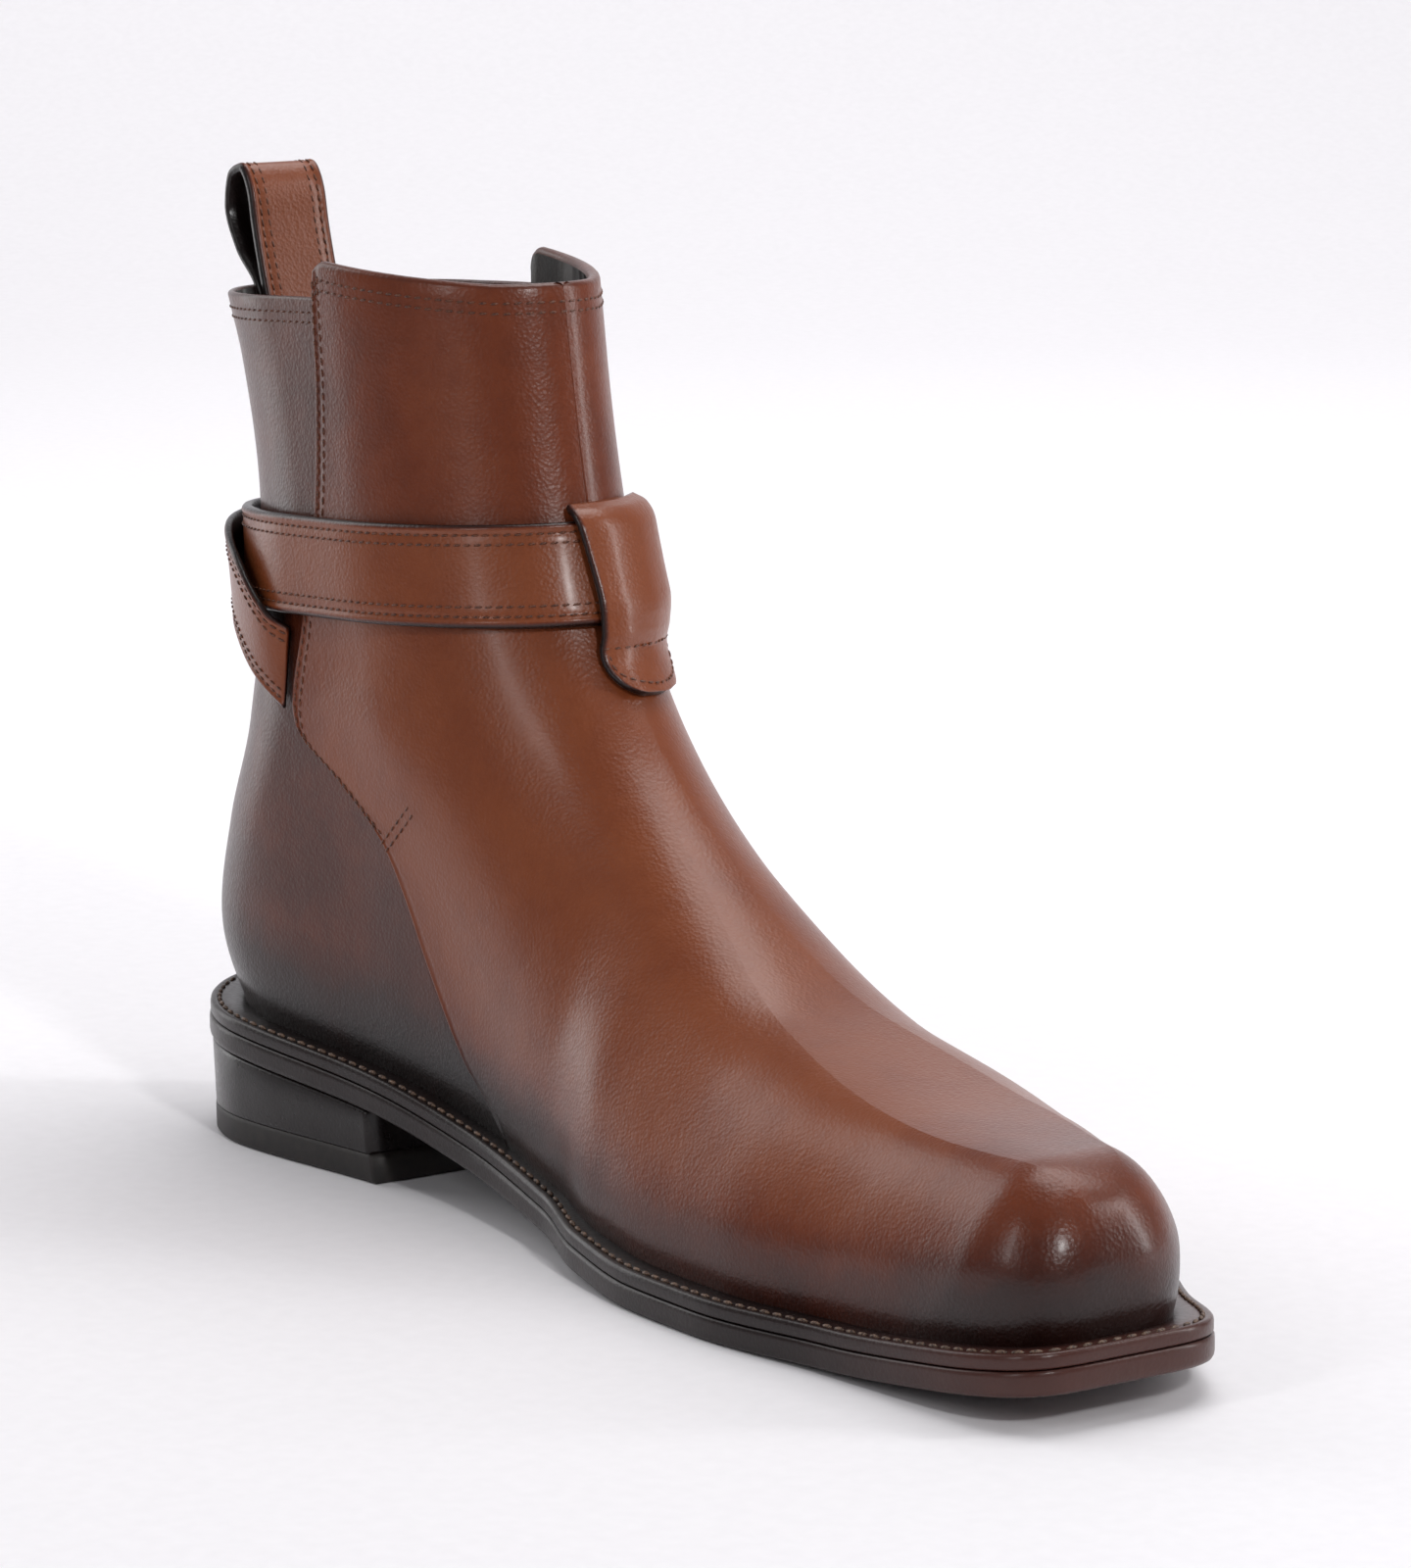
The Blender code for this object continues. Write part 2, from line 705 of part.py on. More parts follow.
def build_straps():
    whole = 2.0 * girth[2][-1]
    seam = run_at(SEAM_AT_STRAP) - 1.6
    rear = run_at(BUCKLE_REAR)
    fore = run_at(BUCKLE_FRONT)
    level = STRAP_LEVEL

    # Long strap: outer seam, round the back, inner side, front, buckle, free end
    long_rows = (
        (0.0, seam, level - 24.5, 0.4, 0.0, 0.83),
        (1.0, seam - 9.0, level - 18.4, 0.6, 24.0, 0.84),
        (2.0, seam - 20.0, level - 11.2, 1.1, 24.0, 0.93),
        (3.0, seam - 34.0, level - 6.2, 1.7, 8.0, 1.0),
        (4.0, 0.0, level - 5.6, 1.7, 0.0, 1.0),
        (7.0, -seam, level - 3.4, 1.6, -2.0, 1.0),
        (9.0, -girth[2][-1], level, 1.6, -2.0, 1.0),
        (11.0, -whole + fore + 14.0, level, 1.5, 0.0, 1.0),
        (12.0, -whole + fore, level, 1.5, 0.0, 1.0),
        (12.5, -whole + fore - 5.5, level, 2.6, 0.0, 1.0),
        (13.0, -whole + fore - 11.0, level, 6.9, 0.0, 1.0),
        (13.5, -whole + rear + 4.5, level, 10.1, 0.0, 1.0),
        (14.0, -whole + rear, level, 10.9, 0.0, 1.0),
        (15.0, -whole + rear - 12.0, level, 11.9, 0.0, 1.0),
        (16.0, -whole + rear - 26.0, level, 13.6, 0.0, 1.0),
    )
    long_path = fill(long_rows, 96)
    long_strap = ribbon("strap_long", long_path, STRAP_WIDTH, STRAP, calf, slant_end=8.0)
    cut_slot(long_strap, fore - 12.3, level, 7.0, 9.6, 3.2)

    # Buckle strap: inner seam, over the long strap round the back, folded on the bar
    fold = BAR + BUCKLE_STRAP / 2 + 0.4
    centre = BUCKLE_LIFT
    buckle_rows = (
        (0.0, -seam, level - 24.5, 0.5, 0.0, 0.83, 0.0),
        (0.6, -seam + 4.5, level - 21.8, 2.4, -14.0, 0.80, 1.6),
        (1.2, -seam + 9.0, level - 18.4, 3.5, -24.0, 0.84, 1.8),
        (2.0, -seam + 20.0, level - 11.2, 4.7, -24.0, 0.93, 1.3),
        (3.0, -seam + 34.0, level - 7.4, 5.0, -8.0, 1.0, 0.5),
        (4.0, 0.0, level - 6.2, 5.0, 0.0, 1.0, 0.0),
        (5.5, rear - 18.0, level - 1.0, 4.8, 0.0, 1.0, 0.0),
        (6.0, rear - 9.0, level, 6.4, 0.0, 1.0, 0.0),
        (6.5, rear - 4.0, level, centre + fold - 0.2, 0.0, 1.0, 0.0),
    )
    buckle_path = fill(buckle_rows, 56)
    for i in range(9):
        turn = math.pi / 2 - math.pi * i / 8
        across_bar = rear + fold * math.cos(turn)
        buckle_path.append([across_bar, level, centre + fold * math.sin(turn), 0.0, 1.0])
    buckle_path.append([rear - 3.0, level, centre - fold + 0.1, 0.0, 1.0])
    buckle_path.append([rear - 7.0, level, centre - fold + 0.7, 0.0, 1.0])
    buckle_strap = ribbon("strap_buckle", buckle_path, STRAP_WIDTH, BUCKLE_STRAP, calf)
    cut_slot(buckle_strap, rear + 1.0, level, centre, 9.0, 3.4)

    # Frame and prong
    half_high = STRAP_WIDTH / 2 + FRAME_CLEAR
    frame = []
    for cx, cz, start in ((rear, half_high, 90), (fore, half_high, 0),
                          (fore, -half_high, -90), (rear, -half_high, -180)):
        inward = FRAME_CORNER if cx == rear else -FRAME_CORNER
        down = -FRAME_CORNER if cz > 0 else FRAME_CORNER
        for i in range(5):
            turn = math.radians(start + 90 - 90 * i / 4)
            r = cx + inward + FRAME_CORNER * math.cos(turn)
            z = level + cz + down + FRAME_CORNER * math.sin(turn)
            share = clamp((r - rear) / (fore - rear), 0.0, 1.0)
            frame.append((r, z, centre + (FRAME_FRONT_LIFT - centre) * share))
    frame = spread(frame, 6)
    tube("buckle_frame", frame, BAR, steel)

    wrap = BAR + PRONG + 0.25
    prong = []
    for i in range(9):
        turn = math.radians(225 - 150 * i / 8)
        prong.append((rear + wrap * math.cos(turn), level, centre + wrap * math.sin(turn)))
    prong.append((rear + 6.0, level, 7.75))
    prong.append((fore - 8.0, level, 7.2))
    prong.append((fore - 2.0, level, 6.85))
    prong.append((fore + 2.2, level, 6.6))
    tube("buckle_prong", prong, PRONG, steel, closed=False, sides=8)

    # Loop on the front that holds the strap down
    front = girth[2][-1] + 6.5
    loop_rows = (
        (0.0, -front, level + 12.6, 1.5, 90.0, 1.06),
        (0.7, -front, level + 12.0, 2.4, 90.0, 1.06),
        (1.4, -front, level + 10.9, 3.8, 90.0, 1.04),
        (2.2, -front, level + 7.4, 5.0, 90.0, 0.98),
        (3.6, -front, level - 6.0, 5.2, 90.0, 0.88),
        (4.6, -front, level - 12.0, 3.7, 90.0, 0.90),
        (5.6, -front, level - 15.5, 2.0, 90.0, 0.96),
        (6.4, -front, level - 18.0, 1.6, 90.0, 0.92),
        (7.2, -front, level - 21.5, 1.6, 90.0, 0.74),
        (7.7, -front, level - 23.4, 1.6, 90.0, 0.42),
    )
    ribbon("strap_loop", fill(loop_rows, 24), LOOP_WIDTH, LOOP_LEATHER, calf, across=6)

    # Pull loop at the back of the collar: its legs go down inside, the rear one bulges
    top = BOOT_HEIGHT
    pull_rows = (
        (0.0, 0.0, top - 23.0, -back_line(top - 23.0) - 10.0, 90.0),
        (1.0, 0.0, top - 8.0, -back_line(top - 8.0) - 10.0, 90.0),
        (2.0, 0.0, top + 4.0, -4.2, 90.0),
        (3.0, 0.0, top + 11.0, -2.6, 90.0),
        (3.6, 0.0, top + 15.6, 0.8, 90.0),
        (4.2, 0.0, top + 14.0, 5.0, 90.0),
        (5.0, 0.0, top + 7.5, 6.4, 90.0),
        (6.0, 0.0, top - 1.0, 2.4, 90.0),
        (7.0, 0.0, top - 8.5, -back_line(top - 8.5) - 7.1, 90.0),
        (8.0, 0.0, top - 23.0, -back_line(top - 23.0) - 7.1, 90.0),
    )
    ribbon("pull_loop", fill(pull_rows, 26), PULL_WIDTH, PULL_LEATHER, calf, across=4, place=heel_plane)


def spread(points, parts):
    """Closed path with extra points on its long straight runs."""
    dense = []
    for k, point in enumerate(points):
        after = points[(k + 1) % len(points)]
        gap = math.dist(point, after)
        count = parts if gap > 5.0 else 1
        for i in range(count):
            dense.append(tuple(a + (b - a) * i / count for a, b in zip(point, after)))
    return dense


for old in list(bpy.data.objects):
    bpy.data.objects.remove(old, do_unlink=True)

home = bpy.data.collections.new("jodhpur_boot")
cutters = bpy.data.collections.new("cutters")
bpy.context.scene.collection.children.link(home)
bpy.context.scene.collection.children.link(cutters)
root = bpy.data.objects.new("jodhpur_boot_root", None)
home.objects.link(root)

calf = material("tan calf", 0.15, 0.045, 0.014, 0.35)
lining_leather = material("lining leather", 0.03, 0.027, 0.026, 0.7)
sole_leather = material("sole leather", 0.03, 0.014, 0.010, 0.45)
welt_leather = material("welt leather", 0.035, 0.016, 0.011, 0.5)
heel_leather = material("heel leather", 0.02, 0.012, 0.010, 0.4)
rubber = material("rubber", 0.012, 0.011, 0.011, 0.6)
steel = material("polished steel", 0.62, 0.60, 0.55, 0.15, 1.0)

girth = leg_girth()
build_sole()
build_upper()
build_straps()
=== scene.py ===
"""Looks of a left jodhpur boot in burnished tan calf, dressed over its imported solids.

The shape functions are the maker's own and work in millimetres: x runs from the back
of the heel to the toe, y to the outer (lateral) side and z up from the floor. Points
become metres, with the origin under the middle of the heel, in to_world.
"""

import bisect
import functools
import math

import bmesh
import bpy
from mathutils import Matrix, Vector


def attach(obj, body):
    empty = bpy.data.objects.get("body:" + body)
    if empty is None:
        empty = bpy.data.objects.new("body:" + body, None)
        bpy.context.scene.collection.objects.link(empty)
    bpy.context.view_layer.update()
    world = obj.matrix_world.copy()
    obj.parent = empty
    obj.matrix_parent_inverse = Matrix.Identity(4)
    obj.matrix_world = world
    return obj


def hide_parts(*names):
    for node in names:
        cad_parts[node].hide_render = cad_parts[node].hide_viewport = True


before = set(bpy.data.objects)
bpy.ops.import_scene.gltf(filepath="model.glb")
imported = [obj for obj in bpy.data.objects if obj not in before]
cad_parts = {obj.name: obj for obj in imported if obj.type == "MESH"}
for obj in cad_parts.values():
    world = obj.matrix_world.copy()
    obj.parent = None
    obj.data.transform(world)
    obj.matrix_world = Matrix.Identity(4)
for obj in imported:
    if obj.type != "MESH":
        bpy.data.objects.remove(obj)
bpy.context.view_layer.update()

# Main sizes in millimetres
LENGTH = 304.0
BALL_WIDTH = 106.0
BOOT_HEIGHT = 183.0
HEEL_SEAT = 21.4
BREAST = 78.5
OUTSOLE = 4.9
WELT = 3.1
TOP_PIECE = 6.0
WELT_HOLE = 11.5
BOARD_EDGE = 10.9
BOARD = 2.6
REST_X = 34.0
MM = 0.001
MERGE = 0.002 * MM

# Sole shape
TOE_POWER = 0.36
INNER_POWER = 0.55
TOE_ROUND = 37.0
HEEL_ROUND = 36.0
TOE_SWING = 18.0
SWING_START = 90.0

# Upper shape; FAR_IN stands for a place well away from the panel's edge
WALL = 2.6
STEP = 1.1
BASE_POWER = 0.50
BOX_POWER = 0.82
BOX_START = 150.0
BOX_RISE = 15.0
UNDERCUT = 2.4
UNDERCUT_HEIGHT = 16.0
NOSE_RADIUS = 19.0
INSTEP_FILLET = 15.0
SHAFT_FRONT = 101.5
PIVOT = (60.0, 40.0)
LATERAL_SLOPE = 1.3
SHAFT_LEAN = 0.13
VAMP_SLOPE = 0.92
CORNER = 4.5
COLLAR_RISE = 5.0
COLLAR_RISE_FROM = 100.0
COLLAR_RISE_OVER = 46.0
QUARTER_DIP = 2.0
UNDER_EDGE = 0.7
FAR_IN = 99.0

# Rings of the upper: how they spread along the front and the back, and where they sag
FRONT_SPREAD = 1.12
BACK_SPREAD = 0.95
BACK_BELOW_TOP = 8.0
RING_SAG = 240.0
COLLAR_ZONE = 0.28

# Straps and metal; a run goes round the leg from the back
STRAP_WIDTH = 20.0
STRAP = 2.0
STRAP_LEVEL = 126.5
SEAM_AT_STRAP = 52.0
SEAM_INSET = 1.6
LOOP_WIDTH = 24.0
PULL_WIDTH = 18.5
BAR = 1.3
BUCKLE_REAR = 33.0
BUCKLE_FRONT = 54.0
BUCKLE_LIFT = 5.6
FRAME_FRONT_LIFT = 4.1
FRAME_CORNER = 3.0
FRAME_CLEAR = 2.2
BUCKLE_STRAP = 1.4
LOOP_LEATHER = 1.6
PULL_LEATHER = 1.8
PRONG = 1.0
SLOT_REACH = 6.0

# Edge finish: a bead beside the edge, then the groove that the stitches pull in
BEAD_IN = 1.0
GROOVE_IN = 2.1
PANEL_BEAD = 0.16
PANEL_GROOVE = 0.14
STRAP_BEAD = 0.22
STRAP_GROOVE = 0.16

# Stitches: spacing, length, thickness, then how far each one slants
UPPER_STITCH = (2.3, 1.75, 0.55, 0.12)
STRAP_STITCH = (2.2, 1.7, 0.5, 0.10)
WELT_STITCH = (3.3, 2.5, 0.95, 0.10)
WELT_STITCH_IN = 2.1
DOUBLE_ROW = (0.0, 2.0)
ACROSS = [i / 12 - 0.5 for i in range(13)]

# How finely the dressed pieces are drawn
LEVELS = 150
PANEL_STEPS = 92
QUARTER_STEPS = 70
NEAR_EDGE = (0.0, 0.12, 0.35, 0.7, 1.1, 1.6, 2.3, 3.1, 4.2, 5.6)
PAST_EDGE = 7.2
UNDERLAP = 3.5
SOLE_STEPS = 230
BOARD_STEPS = 90
HEEL_STEPS = 90
STITCH_SEED = 3

# Sole stations: share of length, inner half width, outer half width as shares of the
# ball width, then the height of the outsole's underside as a share of the heel seat
SOLE_ROWS = (
    (0.00, 0.335, 0.335, 1.000),
    (0.12, 0.335, 0.335, 0.880),
    (0.26, 0.300, 0.325, 0.700),
    (0.37, 0.283, 0.345, 0.440),
    (0.48, 0.312, 0.420, 0.200),
    (0.55, 0.366, 0.480, 0.080),
    (0.63, 0.388, 0.540, 0.000),
    (0.70, 0.379, 0.560, 0.000),
    (0.82, 0.312, 0.450, 0.045),
    (0.92, 0.275, 0.310, 0.180),
    (1.00, 0.265, 0.262, 0.330),
)

# Distance of the upper's widest line inside the sole's edge, by share of length
MARGIN_ROWS = (
    (0.00, 3.6),
    (0.30, 2.0),
    (0.45, 1.8),
    (0.65, 3.6),
    (1.00, 3.6),
)

# Vamp line: share of length, height as a share of the boot height
VAMP_ROWS = (
    (0.28, 0.640),
    (0.36, 0.560),
    (0.50, 0.405),
    (0.66, 0.274),
    (0.82, 0.240),
    (0.94, 0.238),
    (1.00, 0.236),
)

# Rounding depth of the section below the front line: share of length, millimetres
DEPTH_ROWS = (
    (0.20, 42.0),
    (0.35, 46.0),
    (0.50, 56.0),
    (0.66, 46.0),
    (0.82, 34.0),
    (1.00, 29.0),
)

# Leg: share of the boot height, half width, back line x, rounding of the back
LEG_ROWS = (
    (0.16, 33.0, 3.2, 34.0),
    (0.26, 33.0, -0.8, 35.0),
    (0.36, 32.5, 3.0, 36.0),
    (0.48, 31.5, 10.0, 38.0),
    (0.60, 30.0, 12.0, 39.0),
    (0.74, 28.5, 9.5, 40.0),
    (0.88, 27.8, 3.0, 39.0),
    (0.96, 28.0, -2.5, 38.0),
    (1.10, 28.0, -12.0, 38.0),
)

# Rear edge of the front panel: height above the floor, x
SEAM_ROWS = (
    (10.0, 125.0),
    (22.0, 118.5),
    (31.0, 109.0),
    (47.0, 97.5),
    (64.0, 88.0),
    (71.0, 83.0),
    (82.0, 68.0),
    (91.0, 53.5),
    (96.0, 52.0),
    (112.0, 54.0),
    (140.0, 57.0),
    (190.0, 57.0),
)

# Soft waves of the worn-in leather: side (-1 inner, 1 outer), x and z of the middle,
# direction in degrees, half length, half width, height (troughs are below zero)
WAVE_ROWS = (
    (-1, 70.0, 104.0, 12.0, 22.0, 7.0, -0.45),
    (-1, 84.0, 92.0, -24.0, 24.0, 8.0, 0.40),
    (-1, 176.0, 46.0, -30.0, 22.0, 9.0, -0.20),
    (-1, 198.0, 38.0, -28.0, 26.0, 9.0, 0.22),
    (-1, 40.0, 60.0, 80.0, 24.0, 11.0, 0.30),
    (1, 72.0, 102.0, 12.0, 22.0, 7.0, -0.45),
    (1, 88.0, 90.0, -22.0, 24.0, 8.0, 0.40),
    (1, 182.0, 45.0, -30.0, 22.0, 9.0, -0.20),
    (1, 204.0, 37.0, -28.0, 26.0, 9.0, 0.22),
    (1, 40.0, 58.0, 80.0, 24.0, 11.0, 0.30),
)


def clamp(value, low, high):
    return max(low, min(high, value))


def smooth(value):
    t = clamp(value, 0.0, 1.0)
    return t * t * (3.0 - 2.0 * t)


def soft_step(value):
    """Like smooth, with no jump of curvature at its ends."""
    t = clamp(value, 0.0, 1.0)
    return t * t * t * (t * (6.0 * t - 15.0) + 10.0)


@functools.lru_cache(maxsize=None)
def column_of(rows, column):
    """Positions, values and tangents of one table column."""
    xs = [row[0] for row in rows]
    ys = [row[column] for row in rows]
    slopes = [(ys[i + 1] - ys[i]) / (xs[i + 1] - xs[i]) for i in range(len(xs) - 1)]
    tangents = [slopes[0]]
    for left, right in zip(slopes, slopes[1:]):
        same = left * right > 0.0
        tangents.append(2.0 * left * right / (left + right) if same else 0.0)
    tangents.append(slopes[-1])
    return xs, ys, tangents


def along(rows, column, t):
    """Smooth value of a table column at t, with no overshoot between the rows."""
    xs, ys, tangents = column_of(rows, column)
    if t <= xs[0]:
        return ys[0] + (t - xs[0]) * (ys[1] - ys[0]) / (xs[1] - xs[0])
    if t >= xs[-1]:
        return ys[-1] + (t - xs[-1]) * (ys[-1] - ys[-2]) / (xs[-1] - xs[-2])
    i = 0
    while xs[i + 1] < t:
        i += 1
    width = xs[i + 1] - xs[i]
    u = (t - xs[i]) / width
    start = (1 + 2 * u) * (1 - u) ** 2 * ys[i] + u * (1 - u) ** 2 * width * tangents[i]
    end = u * u * (3 - 2 * u) * ys[i + 1] - u * u * (1 - u) * width * tangents[i + 1]
    return start + end


def round_end(t):
    """Quarter of a circle: 0 at t = 0, level at 1 from t = 1 on."""
    t = clamp(t, 0.0, 1.0)
    return math.sqrt(max(0.0, 1.0 - (1.0 - t) ** 2))


def run_along(points):
    """Arc length of a path at each of its points."""
    run = [0.0]
    for a, b in zip(points, points[1:]):
        run.append(run[-1] + math.dist(a, b))
    return run


def between(xs, ys, x):
    """Straight-line reading of ys at x, for xs that rise."""
    i = clamp(bisect.bisect_left(xs, x) - 1, 0, len(xs) - 2)
    return ys[i] + (ys[i + 1] - ys[i]) * (x - xs[i]) / (xs[i + 1] - xs[i])


# Sole functions

def underside(x):
    return along(SOLE_ROWS, 3, clamp(x / LENGTH, 0.0, 1.0)) * HEEL_SEAT


def feather(x):
    """Height of the welt's top, where the upper starts."""
    return underside(x) + OUTSOLE + WELT


def middle(x):
    """The centre line swings to the inner side towards the toe."""
    reach = max(0.0, (x - SWING_START) / (LENGTH - SWING_START))
    return -TOE_SWING * reach ** 1.6


def sole_width(x, side):
    column = 1 if side < 0 else 2
    return along(SOLE_ROWS, column, clamp(x / LENGTH, 0.0, 1.0)) * BALL_WIDTH


def sole_half(x, side, inset):
    power = TOE_POWER + (INNER_POWER - TOE_POWER) * smooth(inset / BOARD_EDGE)
    toe = round_end((LENGTH - inset - x) / (TOE_ROUND - inset)) ** power
    heel = round_end((x - inset) / (HEEL_ROUND - inset))
    return (sole_width(x, side) - inset) * toe * heel


# Upper functions

def front_depth(x, z):
    """Distance inside the front line: toe, rounded nose, vamp, instep and shaft."""
    vamp = (along(VAMP_ROWS, 1, x / LENGTH) * BOOT_HEIGHT - z) * VAMP_SLOPE
    shaft = SHAFT_FRONT + SHAFT_LEAN * (BOOT_HEIGHT - z) - x
    top = (vamp + shaft) / 2 + math.sqrt(((vamp - shaft) / 2) ** 2 + INSTEP_FILLET ** 2)
    toe = LENGTH - along(MARGIN_ROWS, 1, 1.0) - x
    low = max(NOSE_RADIUS - top, 0.0)
    fore = max(NOSE_RADIUS - toe, 0.0)
    if low == 0.0 and fore == 0.0:
        return min(top, toe)
    return NOSE_RADIUS - math.hypot(low, fore)


def tuck(x, z):
    """The upper draws in towards the welt at its lowest edge."""
    rise = clamp(1.0 - (z - feather(x)) / UNDERCUT_HEIGHT, 0.0, 1.0)
    return UNDERCUT * rise ** 2


def back_line(z):
    return along(LEG_ROWS, 2, z / BOOT_HEIGHT)


def upper_half(x, z, side):
    """Half width of the upper at one point of its side view."""
    height = z - feather(x)
    draw = tuck(x, z)
    foot = sole_width(x, side) - along(MARGIN_ROWS, 1, x / LENGTH)
    leg = along(LEG_ROWS, 1, z / BOOT_HEIGHT)
    rise = soft_step((height - 18.0) / 84.0)
    wide = foot * (1.0 - rise) + leg * rise - draw
    box = 1.0 - (1.0 - BOX_POWER) * smooth((x - BOX_START) / (LENGTH - BOX_START))
    boxed = 1.0 - math.exp(-(max(height, 0.0) / BOX_RISE) ** 2)
    power = BASE_POWER + (box - BASE_POWER) * boxed
    deep = along(DEPTH_ROWS, 1, x / LENGTH) * (1.0 if side < 0 else LATERAL_SLOPE)
    front = round_end((front_depth(x, z) - draw) / deep) ** power
    back = round_end((x - back_line(z) - draw) / along(LEG_ROWS, 3, z / BOOT_HEIGHT))
    return max(wide, 1.0) * front * back


def solve(inside, low, high):
    """Last value between low and high for which inside(value) holds."""
    for _ in range(26):
        mid = (low + high) / 2
        if inside(mid):
            low = mid
        else:
            high = mid
    return low


def ridge_point(angle):
    """Point of the front line seen from the pivot under an angle."""
    def inside(r):
        x = PIVOT[0] + r * math.cos(angle)
        z = PIVOT[1] + r * math.sin(angle)
        return front_depth(x, z) - tuck(x, z) > 0.0
    r = solve(inside, 10.0, 300.0)
    return PIVOT[0] + r * math.cos(angle), PIVOT[1] + r * math.sin(angle)


def front_line(parts=900):
    """Front line from the toe's feather edge to the collar, read by share of its run."""
    toe_x = LENGTH - along(MARGIN_ROWS, 1, 1.0) - UNDERCUT
    start = math.atan2(feather(toe_x) - PIVOT[1], toe_x - PIVOT[0])
    end = math.atan2(BOOT_HEIGHT - 1.0 - PIVOT[1], SHAFT_FRONT + 4.0 - PIVOT[0])
    points = [ridge_point(start + (end - start) * i / parts) for i in range(parts + 1)]
    run = run_along(points)

    def place(share):
        want = share * run[-1]
        return tuple(between(run, [p[axis] for p in points], want) for axis in (0, 1))
    return place


def top_shift(x, panel, edge):
    """Collar edge against its straight chord, with the panel's corner rounded off."""
    if panel:
        cut = CORNER - math.sqrt(max(0.0, CORNER ** 2 - max(0.0, CORNER - edge) ** 2))
        rise = clamp((COLLAR_RISE_FROM - x) / COLLAR_RISE_OVER, 0.0, 1.0)
        return 1.0 + COLLAR_RISE * rise - cut
    return 0.5 * smooth(x / 50.0) - QUARTER_DIP


def ring_curve(v, front):
    """Side view of one ring: a function of the share from back to front."""
    fx, fz = front(v ** FRONT_SPREAD)
    low = feather(6.0)
    bz = low + (BOOT_HEIGHT - BACK_BELOW_TOP - low) * v ** BACK_SPREAD
    bx = back_line(bz) + tuck(6.0, bz)
    x0, z0 = back_line(low) + UNDERCUT, low
    x1, z1 = front(0.0)

    def curve(s, panel, edge=FAR_IN):
        x = bx + (fx - bx) * s
        z = bz + (fz - bz) * s - RING_SAG * s * (1.0 - s) * v * (1.0 - v)
        chord = z0 + (z1 - z0) * clamp((x - x0) / (x1 - x0), 0.0, 1.0)
        z += (feather(clamp(x, x0, x1)) - chord) * (1.0 - v) ** 3
        near_top = clamp((v - 1.0) / COLLAR_ZONE + 1.0, 0.0, 1.0)
        lift = top_shift(x, panel, edge) * near_top ** 2
        x += (back_line(z + lift) - back_line(z)) * (1.0 - s) - SHAFT_LEAN * lift * s
        return x, z + lift
    return curve, fx - bx


def all_rings():
    """Every level of the upper: its side-view curve, its length and its seam share."""
    front = front_line()
    rings = []
    for k in range(LEVELS + 1):
        curve, length = ring_curve(k / LEVELS, front)

        def behind(s):
            x, z = curve(s, False)
            return x < along(SEAM_ROWS, 1, z)
        rings.append((curve, length, solve(behind, 0.0, 0.9)))
    return rings


def wave(x, z, side):
    """Height of the soft folds at one point of the upper."""
    total = 0.0
    for where, cx, cz, turn, long_half, wide_half, height in WAVE_ROWS:
        if where * side > 0:
            c, s = math.cos(math.radians(turn)), math.sin(math.radians(turn))
            dx, dz = x - cx, z - cz
            far = ((dx * c + dz * s) / long_half) ** 2 + ((dz * c - dx * s) / wide_half) ** 2
            if far < 9.0:
                total += height * math.exp(-far)
    return total


def to_world(point):
    return (point[0] - REST_X) * MM, point[1] * MM, point[2] * MM


# Making meshes

def put_in(name, data):
    """New object with this data, linked to the scene."""
    made = bpy.data.objects.new(name, data)
    bpy.context.scene.collection.objects.link(made)
    return made


def settle(mesh, merge=None):
    """Join points that meet, where asked, and turn every face outward."""
    work = bmesh.new()
    work.from_mesh(mesh)
    if merge:
        bmesh.ops.remove_doubles(work, verts=work.verts, dist=merge)
    bmesh.ops.recalc_face_normals(work, faces=work.faces)
    work.to_mesh(mesh)
    work.free()


def new_piece(name, points, faces, finish, nodes=(), fields=None, tidy=True):
    """Smooth mesh from points in millimetres that rides on the boot."""
    mesh = bpy.data.meshes.new(name)
    mesh.from_pydata([to_world(p) for p in points], [], faces)
    for field, values in (fields or {}).items():
        kept = mesh.attributes.new(field, "FLOAT", "POINT")
        kept.data.foreach_set("value", values)
    if tidy:
        settle(mesh, MERGE)
    mesh.shade_smooth()
    mesh.materials.append(finish)
    return dress(put_in(name, mesh), nodes)


def dress(made, nodes=()):
    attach(made, "root")
    if nodes:
        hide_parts(*nodes)
    return made


def plain_copy(source, name):
    """The evaluated object as a plain mesh object; the source is removed."""
    graph = bpy.context.evaluated_depsgraph_get()
    mesh = bpy.data.meshes.new_from_object(source.evaluated_get(graph))
    bpy.data.objects.remove(source, do_unlink=True)
    mesh.name = name
    return put_in(name, mesh)


def sheet_faces(rows, columns, start=0, closed=False):
    """Quads of a grid of points, its columns joined round when closed."""
    faces = []
    for i in range(rows - 1):
        for j in range(columns if closed else columns - 1):
            n = (j + 1) % columns
            a = start + i * columns + j
            b = start + i * columns + n
            faces.append((a, b, b + columns, a + columns))
    return faces


# Upper

def panel_stations(length, seam):
    """Inner side from the panel's edge to the front, then the outer side back."""
    shares = [(seam + d / length, d) for d in NEAR_EDGE]
    start = seam + PAST_EDGE / length
    for i in range(PANEL_STEPS + 1):
        s = 1.0 - (1.0 - start) * (1.0 - i / PANEL_STEPS) ** 2.4
        shares.append((s, (s - seam) * length))
    inner = [(s, True, -1, d) for s, d in shares]
    outer = [(s, True, 1, d) for s, d in shares]
    return inner + outer[-2::-1]


